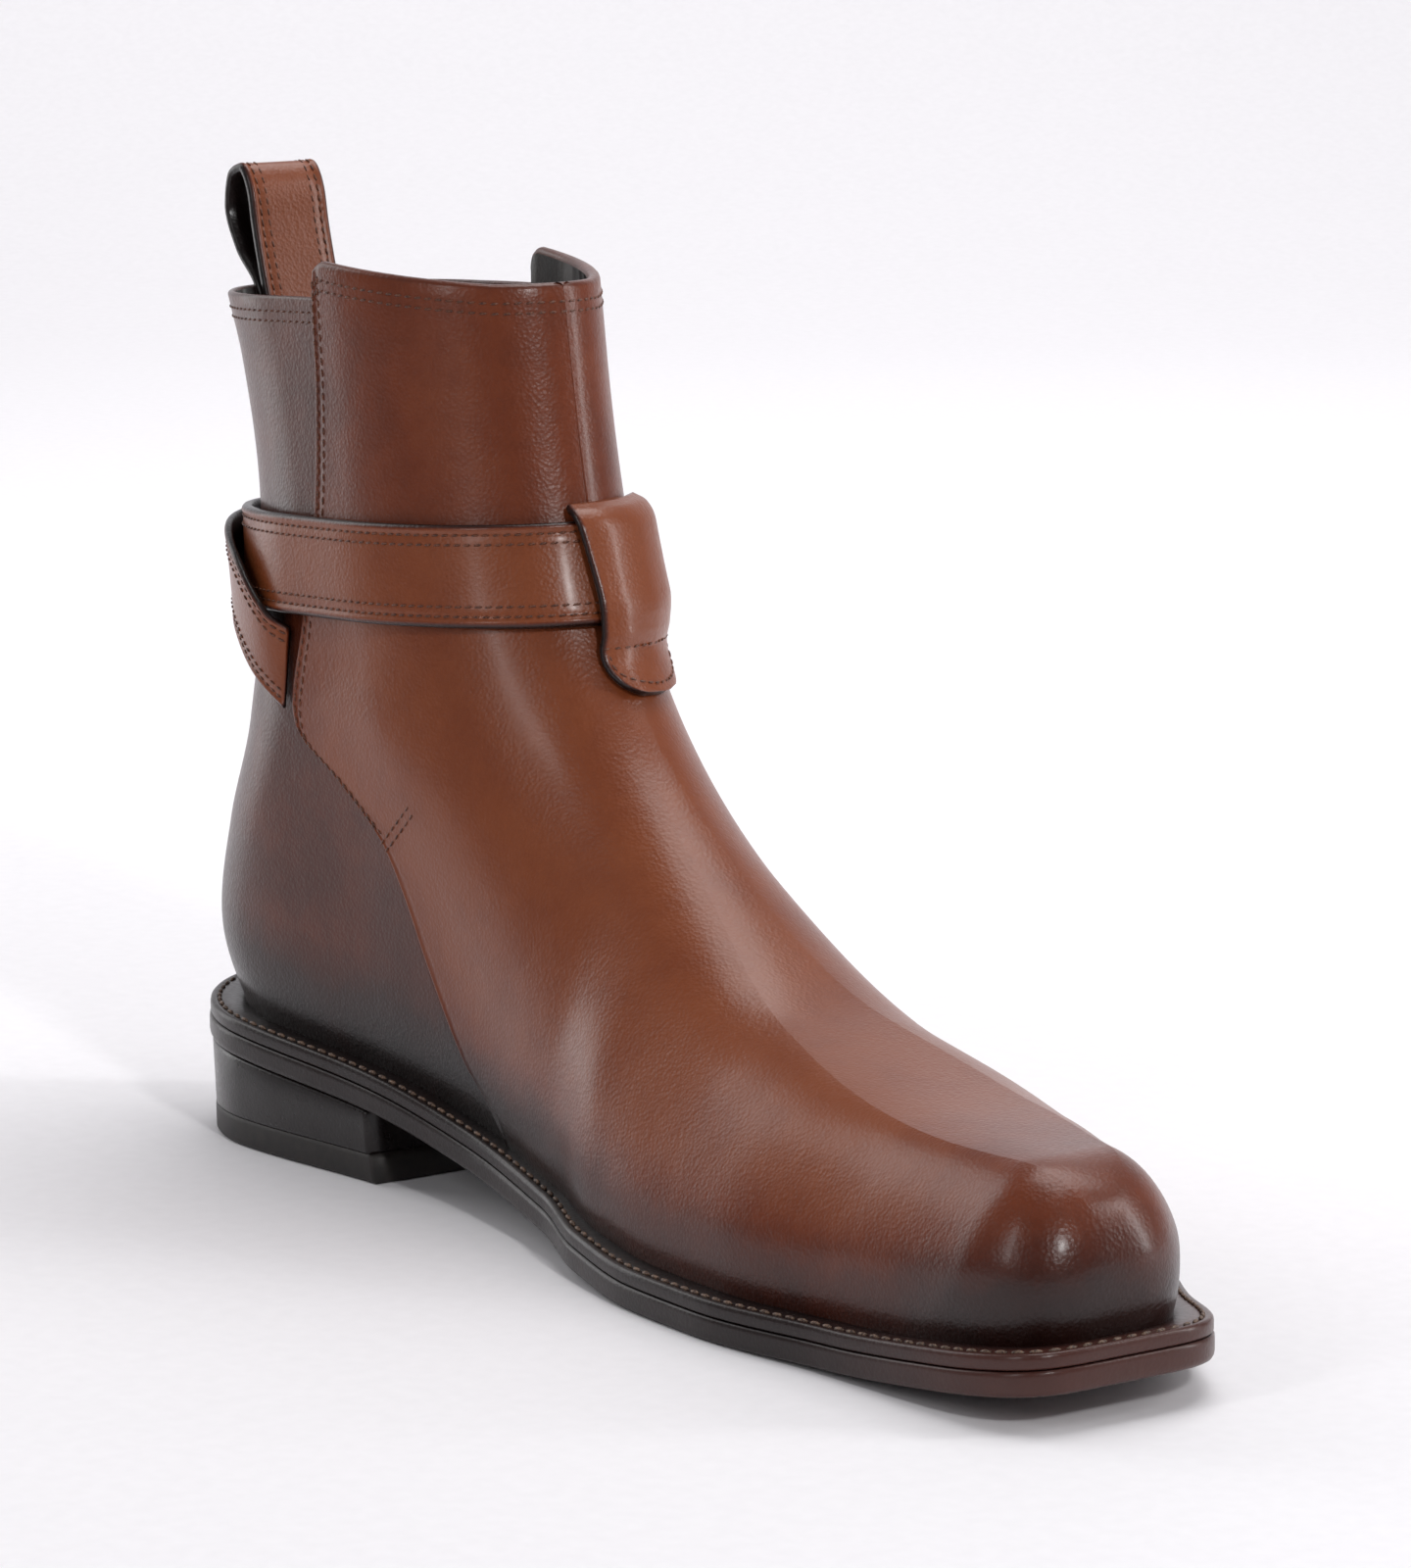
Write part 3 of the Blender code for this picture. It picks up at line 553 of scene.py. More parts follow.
def quarter_stations(length, seam):
    """Outer side from under the panel round the back to the inner side."""
    reach = seam + UNDERLAP / length
    half = []
    for i in range(QUARTER_STEPS + 1):
        s = reach * (1.0 - math.cos(math.pi / 2 * i / QUARTER_STEPS))
        half.append((s, (seam - s) * length))
    outer = [(s, False, 1, d) for s, d in half]
    inner = [(s, False, -1, d) for s, d in half]
    return outer[::-1] + inner[1:]


def skin_at(curve, s, panel, side, edge):
    """Point of the upper's outside on one ring."""
    x, z = curve(s, panel, edge)
    half = upper_half(x, z, side) if 0.0 < s < 1.0 - 1e-7 else 0.0
    return Vector((x, middle(x) + side * half, z))


def base_strip(rings, stations_of):
    """Points and normals of a strip of the upper, with its side-view places."""
    points = []
    guides = []
    marks = []
    for curve, length, seam in rings:
        stations = stations_of(length, seam)
        points.append([skin_at(curve, *station) for station in stations])
        # Directions come from the uncut corner, which has no columns drawn together
        guides.append([skin_at(curve, *station[:3], FAR_IN) for station in stations])
        marks.append([station[2:] for station in stations])
    rows, columns = len(points), len(points[0])
    normals = []
    for i in range(rows):
        line = []
        for j in range(columns):
            around = guides[i][min(j + 1, columns - 1)] - guides[i][max(j - 1, 0)]
            upward = guides[min(i + 1, rows - 1)][j] - guides[max(i - 1, 0)][j]
            line.append(around.cross(upward).normalized())
        # The front columns lie too close together to give a direction of their own
        front = columns // 2
        if points[i][front].x > BREAST:
            ahead = (line[front - 4] + line[front + 4]).normalized()
            for j in range(-3, 4):
                line[front + j] = ahead.lerp(line[front + j], abs(j) / 4).normalized()
        normals.append(line)
    return points, normals, marks


def fold_drop(edge):
    """The panel's turned edge rolls down onto the quarter."""
    if edge >= STEP:
        return 0.0
    return STEP - math.sqrt(max(0.0, STEP ** 2 - (STEP - edge) ** 2))


def edge_dent(edge):
    """Bead between the fold and the stitches, and the groove the stitches pull in."""
    bead = PANEL_BEAD * math.exp(-((edge - BEAD_IN) / 0.55) ** 2)
    groove = PANEL_GROOVE * math.exp(-((edge - GROOVE_IN) / 0.4) ** 2)
    return bead - groove


def tone_of(point, panel, edge):
    """How dark the leather is: burnishing by toe, heel, seat and welt; painted shade on the
    quarters.
    """
    x, z = point.x, point.z
    height = z - feather(x)
    welt = 1.0 - smooth((height - 1.0) / 24.0)
    toe = smooth((x - 236.0) / 66.0)
    back = smooth((46.0 - x) / 46.0) * (1.0 - smooth((z - 60.0) / 60.0))
    waist = math.exp(-((x - 128.0) / 34.0) ** 2) * (1.0 - smooth((height - 6.0) / 30.0))
    tone = 0.04 + 0.54 * welt + 0.26 * toe + 0.22 * back + 0.26 * waist
    if panel:
        # Darker up the shaft, and painted shade along the panel's rear edge by the seam
        tone += 0.20 * smooth((z - 96.0) / 50.0) + 0.12 * (1.0 - smooth(edge / 16.0))
        tone += 0.30 * (1.0 - smooth(edge / 0.9))
    else:
        # Painted shade: the quarters are drawn darker all over
        tone += 0.40
    return clamp(tone, 0.0, 1.0)


def shell(rings, stations_of, panel):
    """Outer face, rounded collar lip and inner face of one strip of the upper."""
    points, normals, marks = base_strip(rings, stations_of)
    rows, columns = len(points), len(points[0])
    outer = []
    inner = []
    tones = []
    for i in range(rows):
        line = []
        back = []
        tint = []
        for j in range(columns):
            point, normal = points[i][j], normals[i][j]
            side, edge = marks[i][j]
            if i == 0:
                normal = Vector((normal.x, normal.y, 0.0)).normalized()
            off = wave(point.x, point.z, side) * smooth(edge / 12.0)
            if panel:
                off += edge_dent(edge) - fold_drop(edge)
                if edge == 0.0:
                    off -= UNDER_EDGE
            else:
                off -= STEP + 0.25 * smooth(-edge / 1.5)
            line.append(point + normal * off)
            back.append(point - normal * WALL)
            tint.append(tone_of(point, panel, edge))
        if i == 0:
            for p in line + back:
                p.z = feather(p.x) - UNDER_EDGE
        outer.append(line)
        inner.append(back)
        tones.append(tint)
    lip = []
    top = rows - 1
    for a in (25, 55, 90, 125, 155, 180):
        turn = math.radians(a)
        line = []
        for j in range(columns):
            rise = (points[top][j] - points[top - 1][j]).normalized()
            middle_wall = (outer[top][j] + inner[top][j]) / 2
            out = outer[top][j] - middle_wall
            line.append(middle_wall + out * math.cos(turn) + rise * out.length * math.sin(turn))
        lip.append(line)
    return outer, lip, inner, tones, normals


def flatten(lines):
    return [p for line in lines for p in line]


def build_upper():
    rings = all_rings()
    lining_points = []
    lining_faces = []
    strips = {}
    parts = (("front_panel", panel_stations, True), ("quarters", quarter_stations, False))
    for name, stations_of, panel in parts:
        outer, lip, inner, tones, normals = shell(rings, stations_of, panel)
        columns = len(outer[0])
        grid = outer + lip
        tint = flatten(tones) + flatten([[t + 0.12 for t in tones[-1]] for _ in lip])
        faces = sheet_faces(len(grid), columns)
        nodes = ("upper",) if panel else ()
        new_piece(name, flatten(grid), faces, calf, nodes, {"tone": tint}, tidy=False)
        strips[name] = (outer, normals)
        keep_rows = [inner[i] for i in range(0, LEVELS + 1, 5)] + [lip[-1]]
        keep = [line[::2] for line in keep_rows[::-1]]
        lining_faces += sheet_faces(len(keep), len(keep[0]), len(lining_points))
        lining_points += flatten(keep)
    new_piece("lining", lining_points, lining_faces, lining, tidy=False)
    return strips


def walk(points, distance):
    """Place at a distance along a chain of points, and the index it lies behind."""
    for k, (a, b) in enumerate(zip(points, points[1:])):
        gap = (b - a).length
        if gap >= distance:
            return a.lerp(b, distance / gap), k
        distance -= gap
    return None


def below_top(strip, depth):
    """Line on a strip a given distance below its collar edge."""
    outer, normals = strip
    line = []
    for j in range(2, len(outer[0]) - 2):
        hit = walk([row[j] for row in outer[::-1]], depth)
        if hit:
            line.append((hit[0], normals[len(outer) - 1 - hit[1]][j]))
    return line


def beside_edge(strip, side, distance, low_z, high_z):
    """Line on the front panel a given distance from its rear edge."""
    line = []
    for row, ups in zip(*strip):
        if low_z < row[0].z < high_z:
            if side > 0:
                row, ups = row[::-1], ups[::-1]
            hit = walk(row[1:25], distance)
            if hit:
                line.append((hit[0], ups[1 + hit[1]]))
    return line


def skin_point(x, z, side):
    """Point and normal of the upper's surface at a place of its side view."""
    def place(px, pz):
        return Vector((px, middle(px) + side * upper_half(px, pz, side), pz))
    point = place(x, z)
    ahead = place(x + 0.5, z) - place(x - 0.5, z)
    above = place(x, z + 0.5) - place(x, z - 0.5)
    normal = ahead.cross(above).normalized() * (1.0 if side < 0 else -1.0)
    return point, normal


def skin_line(ends, side, lift=0.05, parts=10):
    """Straight line in the side view, laid on the upper's surface."""
    (x0, z0), (x1, z1) = ends
    line = []
    for i in range(parts + 1):
        t = i / parts
        point, normal = skin_point(x0 + (x1 - x0) * t, z0 + (z1 - z0) * t, side)
        line.append((point + normal * lift, normal))
    return line


# Stitches, set along lines by a node tree

def stitch_tree():
    """Tree that sets one thread stitch after another along the mesh's edges."""
    tree = bpy.data.node_groups.new("run_of_stitches", "GeometryNodeTree")
    sockets = (
        ("Lines", "INPUT", "Geometry"), ("Spacing", "INPUT", "Float"),
        ("Length", "INPUT", "Float"), ("Thread", "INPUT", "Float"), ("Lay", "INPUT", "Float"),
        ("Seed", "INPUT", "Int"), ("Finish", "INPUT", "Material"),
        ("Stitches", "OUTPUT", "Geometry"))
    for name, way, kind in sockets:
        tree.interface.new_socket(name, in_out=way, socket_type="NodeSocket" + kind)
    given = add(tree, "NodeGroupInput").outputs
    curve = add(tree, "GeometryNodeMeshToCurve", {"Mesh": given["Lines"]})
    paced = add(tree, "GeometryNodeResampleCurve", {
        "Curve": curve, "Length": given["Spacing"]}, mode="LENGTH")
    tangent = add(tree, "GeometryNodeInputTangent")
    up = add(tree, "GeometryNodeInputNamedAttribute", {"Name": "up"}, data_type="FLOAT_VECTOR")
    across = add(tree, "ShaderNodeVectorMath", {0: up, 1: tangent}, operation="CROSS_PRODUCT")
    # Each stitch slants a little more or less than its neighbours
    stray = add(tree, "FunctionNodeRandomValue", {2: 0.6, 3: 1.4, "Seed": given["Seed"]},
                data_type="FLOAT")
    slant = add(tree, "ShaderNodeMath", {0: given["Lay"], 1: stray.outputs[1]},
                operation="MULTIPLY")
    lean = add(tree, "ShaderNodeVectorMath", {0: across, "Scale": slant}, operation="SCALE")
    aim = add(tree, "ShaderNodeVectorMath", {0: tangent, 1: lean}, operation="ADD")
    turn = add(tree, "FunctionNodeAxesToRotation", {
        "Primary Axis": aim, "Secondary Axis": up}, primary_axis="X", secondary_axis="Z")
    size = add(tree, "ShaderNodeCombineXYZ", {
        "X": given["Length"], "Y": given["Thread"], "Z": given["Thread"]})
    bead = add(tree, "GeometryNodeMeshUVSphere", {"Segments": 6, "Rings": 5, "Radius": 0.5})
    thread = add(tree, "GeometryNodeTransform", {"Geometry": bead, "Scale": size})
    laid = add(tree, "GeometryNodeInstanceOnPoints", {
        "Points": paced, "Instance": thread, "Rotation": turn})
    real = add(tree, "GeometryNodeRealizeInstances", {"Geometry": laid})
    soft = add(tree, "GeometryNodeSetShadeSmooth", {"Geometry": real})
    done = add(tree, "GeometryNodeSetMaterial", {"Geometry": soft, "Material": given["Finish"]})
    add(tree, "NodeGroupOutput", {"Stitches": done})
    return tree


def feed(tree, node, inputs):
    """Each input takes a value, a socket, or the first output of another node."""
    for key, value in inputs.items():
        if isinstance(value, bpy.types.Node):
            value = value.outputs[0]
        if isinstance(value, bpy.types.NodeSocket):
            tree.links.new(value, node.inputs[key])
        else:
            node.inputs[key].default_value = value


def add(tree, kind, inputs=None, **settings):
    """A new node with its settings and inputs."""
    node = tree.nodes.new(kind)
    for key, value in settings.items():
        setattr(node, key, value)
    feed(tree, node, inputs or {})
    return node


def stitch(name, lines, kind, finish):
    """Plain mesh of stitches of one kind along lines of (point, normal)."""
    spacing, length, thread, lay = kind
    points = []
    ups = []
    edges = []
    for line in lines:
        start = len(points)
        for place, normal in line:
            points.append(to_world(place))
            ups.extend(normal)
        edges += [(i, i + 1) for i in range(start, len(points) - 1)]
    mesh = bpy.data.meshes.new(name + "_lines")
    mesh.from_pydata(points, edges, [])
    mesh.attributes.new("up", "FLOAT_VECTOR", "POINT").data.foreach_set("vector", ups)
    source = put_in(name + "_lines", mesh)
    maker = source.modifiers.new("stitches", "NODES")
    maker.node_group = stitches
    values = {"Spacing": spacing * MM, "Length": length * MM, "Thread": thread * MM,
              "Lay": lay, "Seed": STITCH_SEED, "Finish": finish}
    for item in stitches.interface.items_tree:
        if item.in_out == "INPUT" and item.name in values:
            maker[item.identifier] = values[item.name]
    return dress(plain_copy(source, name))


def stitch_upper(strips):
    panel = strips["front_panel"]
    quarter = strips["quarters"]
    rows = [below_top(panel, 2.6 + more) for more in DOUBLE_ROW]
    rows += [below_top(quarter, 2.4 + more) for more in DOUBLE_ROW]
    for side in (-1, 1):
        for more in DOUBLE_ROW:
            rows.append(beside_edge(panel, side, 1.9 + more, 73.0, BOOT_HEIGHT - 4.0))
        # Short branch that locks the seam where it turns up to the shaft
        for across in DOUBLE_ROW:
            low = (84.0 + 0.66 * across, 71.0 - 0.75 * across)
            rows.append(skin_line((low, (low[0] + 9.0, low[1] + 8.0)), side))
    stitch("upper_stitches", rows, UPPER_STITCH, tan_thread)


# Sole and heel

def sole_ring(inset, level, lift, count=SOLE_STEPS):
    """Outline of the sole at an inset, inner side first, back again on the outer side."""
    sides = []
    for side in (-1, 1):
        line = []
        for i in range(count + 1):
            turn = math.pi * i / count
            x = inset + (LENGTH - 2 * inset) * (1.0 - math.cos(turn)) / 2
            half = sole_half(x, side, inset) if 0 < i < count else 0.0
            line.append(Vector((x, middle(x) + side * half, level(x) + lift)))
        sides.append(line)
    return sides[0] + sides[1][:0:-1]


def heel_ring(inset, level, lift, forward=0.0):
    """Heel outline from the back to the breast, its corners eased."""
    breast = BREAST + forward
    sides = []
    for side in (-1, 1):
        line = []
        for i in range(HEEL_STEPS + 1):
            turn = math.pi / 2 * i / HEEL_STEPS
            x = inset + (breast - inset) * (1.0 - math.cos(turn))
            half = sole_half(x, side, inset) if i else 0.0
            line.append(Vector((x, side * half, level(x) + lift)))
        for k in range(1, 7):
            y = line[HEEL_STEPS].y * (1.0 - k / 7)
            line.append(Vector((breast, y, level(breast) + lift)))
        sides.append(line)
    return sides[0] + sides[1][:0:-1]


def ring_stack(name, rings, finish, nodes, capped=True, tones=None):
    """Loft through equal rings, capped across, or joined end to end."""
    count = len(rings[0])
    faces = []
    spans = len(rings) - 1 if capped else len(rings)
    last = (len(rings) - 1) * count
    for i in range(spans):
        k = (i + 1) % len(rings)
        for j in range(count):
            n = (j + 1) % count
            faces.append((i * count + j, i * count + n, k * count + n, k * count + j))
    if capped:
        faces.append((0, 1, count - 1))
        faces.append((last, last + count - 1, last + 1))
        for j in range(1, count // 2):
            quad = (j, j + 1, count - j - 1, count - j)
            faces.append(quad)
            faces.append(tuple(last + q for q in quad[::-1]))
    fields = {"tone": tones} if tones else None
    return new_piece(name, flatten(rings), faces, finish, nodes, fields)


def edge_tones(rings, joint_rows=()):
    """Sole edge colour: redder at the toe, dark in the joint lines."""
    tones = []
    for k, ring in enumerate(rings):
        for p in ring:
            tone = 0.72 - 0.55 * smooth((p.x - 236.0) / 60.0)
            tones.append(1.0 if k in joint_rows else tone)
    return tones


def ply_top(x):
    """Top of the outsole's leather."""
    return underside(x) + OUTSOLE


def stack_foot(x):
    """The heel stack stands level on its top piece."""
    return TOP_PIECE


def floor(x):
    """The boot stands on the floor."""
    return 0.0


# Section of each piece: inset from the sole's edge, the level it is measured from and
# the rise above that level. The top piece's rows end with its reach past the breast.
OUTSOLE_ROWS = (
    (1.60, underside, 0.0),
    (0.90, underside, 0.08),
    (0.40, underside, 0.35),
    (0.10, underside, 0.9),
    (0.00, underside, 1.5),
    (0.00, ply_top, -1.2),
    (0.06, ply_top, -0.55),
    (0.30, ply_top, -0.18),
    (0.75, ply_top, -0.02),
)
WELT_ROWS = (
    (WELT_HOLE, ply_top, 0.02),
    (0.75, ply_top, 0.02),
    (0.40, ply_top, 0.15),
    (0.22, ply_top, 0.5),
    (0.20, feather, -1.1),
    (0.32, feather, -0.5),
    (0.65, feather, -0.14),
    (1.15, feather, -0.02),
    (1.60, feather, -0.12),
    (2.10, feather, -0.34),
    (2.60, feather, -0.14),
    (3.20, feather, 0.0),
    (WELT_HOLE, feather, 0.0),
)
BOARD_ROWS = (
    (WELT_HOLE + 0.5, ply_top, 0.2),
    (WELT_HOLE + 0.5, feather, 0.3),
    (BOARD_EDGE, feather, 0.3),
    (BOARD_EDGE, feather, BOARD - 0.5),
    (BOARD_EDGE + 0.5, feather, BOARD),
)
STACK_ROWS = (
    (1.4, stack_foot, 0.03),
    (1.2, stack_foot, 0.12),
    (1.15, stack_foot, 0.6),
    (0.6, underside, -0.8),
    (0.9, underside, -0.2),
    (1.6, underside, -0.05),
)
TOP_PIECE_ROWS = (
    (2.2, floor, 0.0, 1.2),
    (1.6, floor, 0.25, 1.8),
    (1.2, floor, 0.8, 2.1),
    (1.1, stack_foot, -1.0, 1.4),
    (1.15, stack_foot, -0.15, 0.9),
    (1.4, stack_foot, 0.0, 0.6),
)


def build_sole():
    rings = [sole_ring(*row) for row in OUTSOLE_ROWS]
    tones = edge_tones(rings, (len(rings) - 1,))
    ring_stack("outsole_leather", rings, sole_edge, ("outsole",), tones=tones)

    rings = [sole_ring(*row) for row in WELT_ROWS]
    tones = edge_tones(rings, (0, 1, len(rings) - 1))
    ring_stack("welt_strip", rings, sole_edge, ("welt",), False, tones)

    rings = [sole_ring(*row, BOARD_STEPS) for row in BOARD_ROWS]
    ring_stack("sock_lining", rings, lining, ("insole",))

    rings = [heel_ring(*row) for row in STACK_ROWS]
    ends = (0, len(rings) - 1)
    tones = [0.95 if k in ends else 0.8 for k, ring in enumerate(rings) for _ in ring]
    ring_stack("heel_lifts", rings, heel_leather, ("heel_stack",), tones=tones)

    rings = [heel_ring(*row) for row in TOP_PIECE_ROWS]
    ring_stack("top_piece", rings, rubber, ("heel_top_piece",))


def stitch_welt():
    """One row of thick waxed stitches all round the welt."""
    ring = sole_ring(WELT_STITCH_IN, feather, -0.12)
    up = Vector((0.0, 0.0, 1.0))
    line = [(p, up) for p in ring + ring[:1]]
    stitch("welt_stitches", [line], WELT_STITCH, welt_thread)


# Straps, loops and buckle live in sheet coordinates: run around the leg from the back
# (towards the outer side positive), height, and distance off the upper's surface.

LEG_AXIS = 48.0
TURN_STEP = math.radians(2.5)
RISE_STEP = 2.5


@functools.lru_cache(maxsize=None)
def leg_radius(i, k):
    """Distance from the leg's axis to the upper, on a grid of turns and heights."""
    angle, z = i * TURN_STEP, k * RISE_STEP
    side = 1 if math.sin(angle) >= 0.0 else -1

    def inside(r):
        x = LEG_AXIS + r * math.cos(angle)
        y = r * math.sin(angle)
        return abs(y - middle(x)) < upper_half(x, z, side)
    return solve(inside, 3.0, 90.0)


def leg_point(angle, z):
    """Point of the upper on a level ray from the leg's axis, 0 degrees at the front."""
    count = round(2.0 * math.pi / TURN_STEP)
    a = angle / TURN_STEP
    b = z / RISE_STEP
    i, k = math.floor(a), math.floor(b)
    s, t = a - i, b - k
    near = leg_radius(i % count, k) * (1 - t) + leg_radius(i % count, k + 1) * t
    far = leg_radius((i + 1) % count, k) * (1 - t) + leg_radius((i + 1) % count, k + 1) * t
    r = near * (1 - s) + far * s
    return Vector((LEG_AXIS + r * math.cos(angle), r * math.sin(angle), z))


def leg_girth():
    """Arc length around the leg at the strap's level, from the back to the front."""
    angles = [math.pi - math.pi * i / 120 for i in range(121)]
    points = [leg_point(a, STRAP_LEVEL) for a in angles]
    return angles, points, run_along(points)


def angle_at(run):
    """Angle on the leg for a run; runs past the front carry on round the leg."""
    angles, _, runs = girth
    turns = math.floor((run + runs[-1]) / (2.0 * runs[-1]))
    rest = run - turns * 2.0 * runs[-1]
    angle = between(runs, angles, abs(rest))
    return angle if rest >= 0.0 else -angle


def run_at(x):
    """Run of the outer side's point with this x."""
    _, points, runs = girth
    return between([p.x for p in points], runs, x)


def sheet(run, z, off):
    angle = angle_at(run)
    point = leg_point(angle, z)
    ahead = leg_point(angle + 0.06, z) - leg_point(angle - 0.06, z)
    above = leg_point(angle, z + 2.0) - leg_point(angle, z - 2.0)
    normal = ahead.cross(above).normalized()
    return point + normal * off


def sewn(run, z, off):
    """Point in sheet coordinates with the direction away from the leg."""
    place = sheet(run, z, off)
    return place, (sheet(run, z, off + 1.0) - place).normalized()


def fill(rows, steps):
    """Path samples between the rows of a table whose first column only counts up."""
    total = rows[-1][0]
    path = []
    for i in range(steps + 1):
        t = total * i / steps
        path.append([along(rows, c, t) for c in range(1, len(rows[0]))])
    return path


def strap_section(width, thick, beaded):
    """Section of a strap: across, height and edge share; the face that shows first."""
    near = (0.0, 0.1, 0.3, 0.6, 0.95, 1.3, 1.7, 2.1, 2.5, 3.0, 3.8, 5.5)
    round_top = 0.75
    face = []
    for d in near + (width / 2,):
        h = thick / 2
        if d < round_top:
            h -= round_top - math.sqrt(round_top ** 2 - (round_top - d) ** 2)
        if beaded:
            h += STRAP_BEAD * math.exp(-((d - BEAD_IN) / 0.5) ** 2)
            h -= STRAP_GROOVE * math.exp(-((d - GROOVE_IN) / 0.5) ** 2)
        tone = 1.0 if d < 0.2 else 0.75 * (1.0 - smooth((d - 0.2) / 1.0))
        face.append((width / 2 - d, h, tone))
    left = [(-a, h, tone) for a, h, tone in face[:-1]]
    show = left + face[::-1]
    half_rear = ((1.0, 0.35), (0.96, 0.0), (0.5, 0.0))
    rear = [(width / 2 * s, lift - thick / 2, 1.0) for s, lift in half_rear]
    return show + rear + [(-a, h, tone) for a, h, tone in rear[::-1]]


def frame_of(centres, k, tilt):
    """Directions along, across and through a strap at one sample of its path."""
    tangent = centres[min(k + 1, len(centres) - 1)] - centres[max(k - 1, 0)]
    over = Vector((math.sin(tilt), math.cos(tilt), 0.0))
    return tangent.normalized(), over, tangent.cross(over).normalized()


def heel_plane(run, z, off):
    """Flat counterpart of sheet at the back of the heel, for the free pull loop."""
    return Vector((-off, run, z))


def roll_of(place, reach, width):
    """Extra distance off the leather at one reach of a strap that is rolled."""
    return place[5] * 2.0 * reach / width if len(place) > 5 else 0.0


def ribbon(name, path, width, thick, face, nodes, beaded=True, slant_end=0.0,
           round_end_by=0.0, tone=0.0, lay=None):
    """Strip along a path of run, height, distance, slant in degrees, width factor and
    roll, the extra distance of its upper edge."""
    lay = lay or sheet
    centres = [Vector(p[:3]) for p in path]
    section = strap_section(width, thick, beaded)
    points = []
    tones = []
    last = len(centres) - 1
    length_left = 0.0
    lefts = [0.0] * len(centres)
    for k in range(last - 1, -1, -1):
        length_left += (centres[k + 1] - centres[k]).length
        lefts[k] = length_left
    for k, centre in enumerate(centres):
        ahead, over, thin = frame_of(centres, k, math.radians(path[k][3]))
        factor = path[k][4] if len(path[k]) > 4 else 1.0
        if round_end_by and lefts[k] < round_end_by:
            factor *= max(0.02, round_end(lefts[k] / round_end_by)) ** 0.6
        for across, height, dark in section:
            reach = across * factor
            p = centre + over * reach + thin * height * face
            if slant_end:
                near = 1.0 - smooth(lefts[k] / 14.0)
                p += ahead * slant_end * reach / width * near
            p.z += roll_of(path[k], reach, width)
            points.append(lay(p.x, p.y, p.z))
            tones.append(clamp(dark + tone, 0.0, 1.0))
    count = len(section)
    faces = sheet_faces(len(centres), count, closed=True)
    for row in (0, last):
        faces.append(tuple(row * count + j for j in range(count)))
    return new_piece(name, points, faces, calf, nodes, {"tone": tones})


def strap_line(path, reach, height, face, first, last_one, lay=None):
    """Line of (point, normal) along a strap, a share of its length, at one reach."""
    lay = lay or sheet
    centres = [Vector(p[:3]) for p in path]
    line = []
    for k in range(int(first * (len(path) - 1)), int(last_one * (len(path) - 1)) + 1):
        _, over, thin = frame_of(centres, k, math.radians(path[k][3]))
        factor = path[k][4] if len(path[k]) > 4 else 1.0
        p = centres[k] + over * reach * factor + thin * height * face
        p.z += roll_of(path[k], reach * factor, STRAP_WIDTH)
        q = p + thin * face
        place = lay(p.x, p.y, p.z)
        line.append((place, (lay(q.x, q.y, q.z) - place).normalized()))
    return line


def edge_rows(path, width, thick, face, first=0.0, last_one=1.0):
    """Double stitch rows along both edges of a strap."""
    rows = []
    for inset, dent in ((GROOVE_IN, STRAP_GROOVE), (4.0, 0.0)):
        for sign in (-1, 1):
            reach = sign * (width / 2 - inset)
            rows.append(strap_line(path, reach, thick / 2 - dent + 0.08, face, first, last_one))
    return rows


def tube(name, path, radius, finish, nodes, closed=True, sides=16):
    """Round bar along a path in sheet coordinates."""
    centres = [Vector(p) for p in path]
    total = len(centres)
    points = []
    for k, centre in enumerate(centres):
        if closed:
            tangent = centres[(k + 1) % total] - centres[k - 1]
        else:
            tangent = centres[min(k + 1, total - 1)] - centres[max(k - 1, 0)]
        tangent.normalize()
        guide = Vector((0.0, 0.0, 1.0)) if closed else Vector((0.0, 1.0, 0.0))
        first = tangent.cross(guide).normalized()
        second = tangent.cross(first)
        size = radius
        if not closed:
            from_end = min(k, total - 1 - k)
            size *= (0.45, 0.8, 0.96)[from_end] if from_end < 3 else 1.0
        for i in range(sides):
            turn = 2.0 * math.pi * i / sides
            p = centre + (first * math.cos(turn) + second * math.sin(turn)) * size
            points.append(sheet(p.x, p.y, p.z))
    faces = sheet_faces(total, sides, closed=True)
    if closed:
        start = (total - 1) * sides
        for j in range(sides):
            n = (j + 1) % sides
            faces.append((start + j, start + n, n, j))
    else:
        faces.append(tuple(range(sides)))
        faces.append(tuple((total - 1) * sides + j for j in range(sides)))
    return new_piece(name, points, faces, finish, nodes)


def densify(points, spacing, closed):
    """The same path with points about every spacing millimetres."""
    dense = []
    count = len(points) if closed else len(points) - 1
    for k in range(count):
        a, b = points[k], points[(k + 1) % len(points)]
        parts = max(1, round(math.dist(a, b) / spacing))
        dense += [tuple(p + (q - p) * i / parts for p, q in zip(a, b)) for i in range(parts)]
    if not closed:
        dense.append(tuple(points[-1]))
    return dense


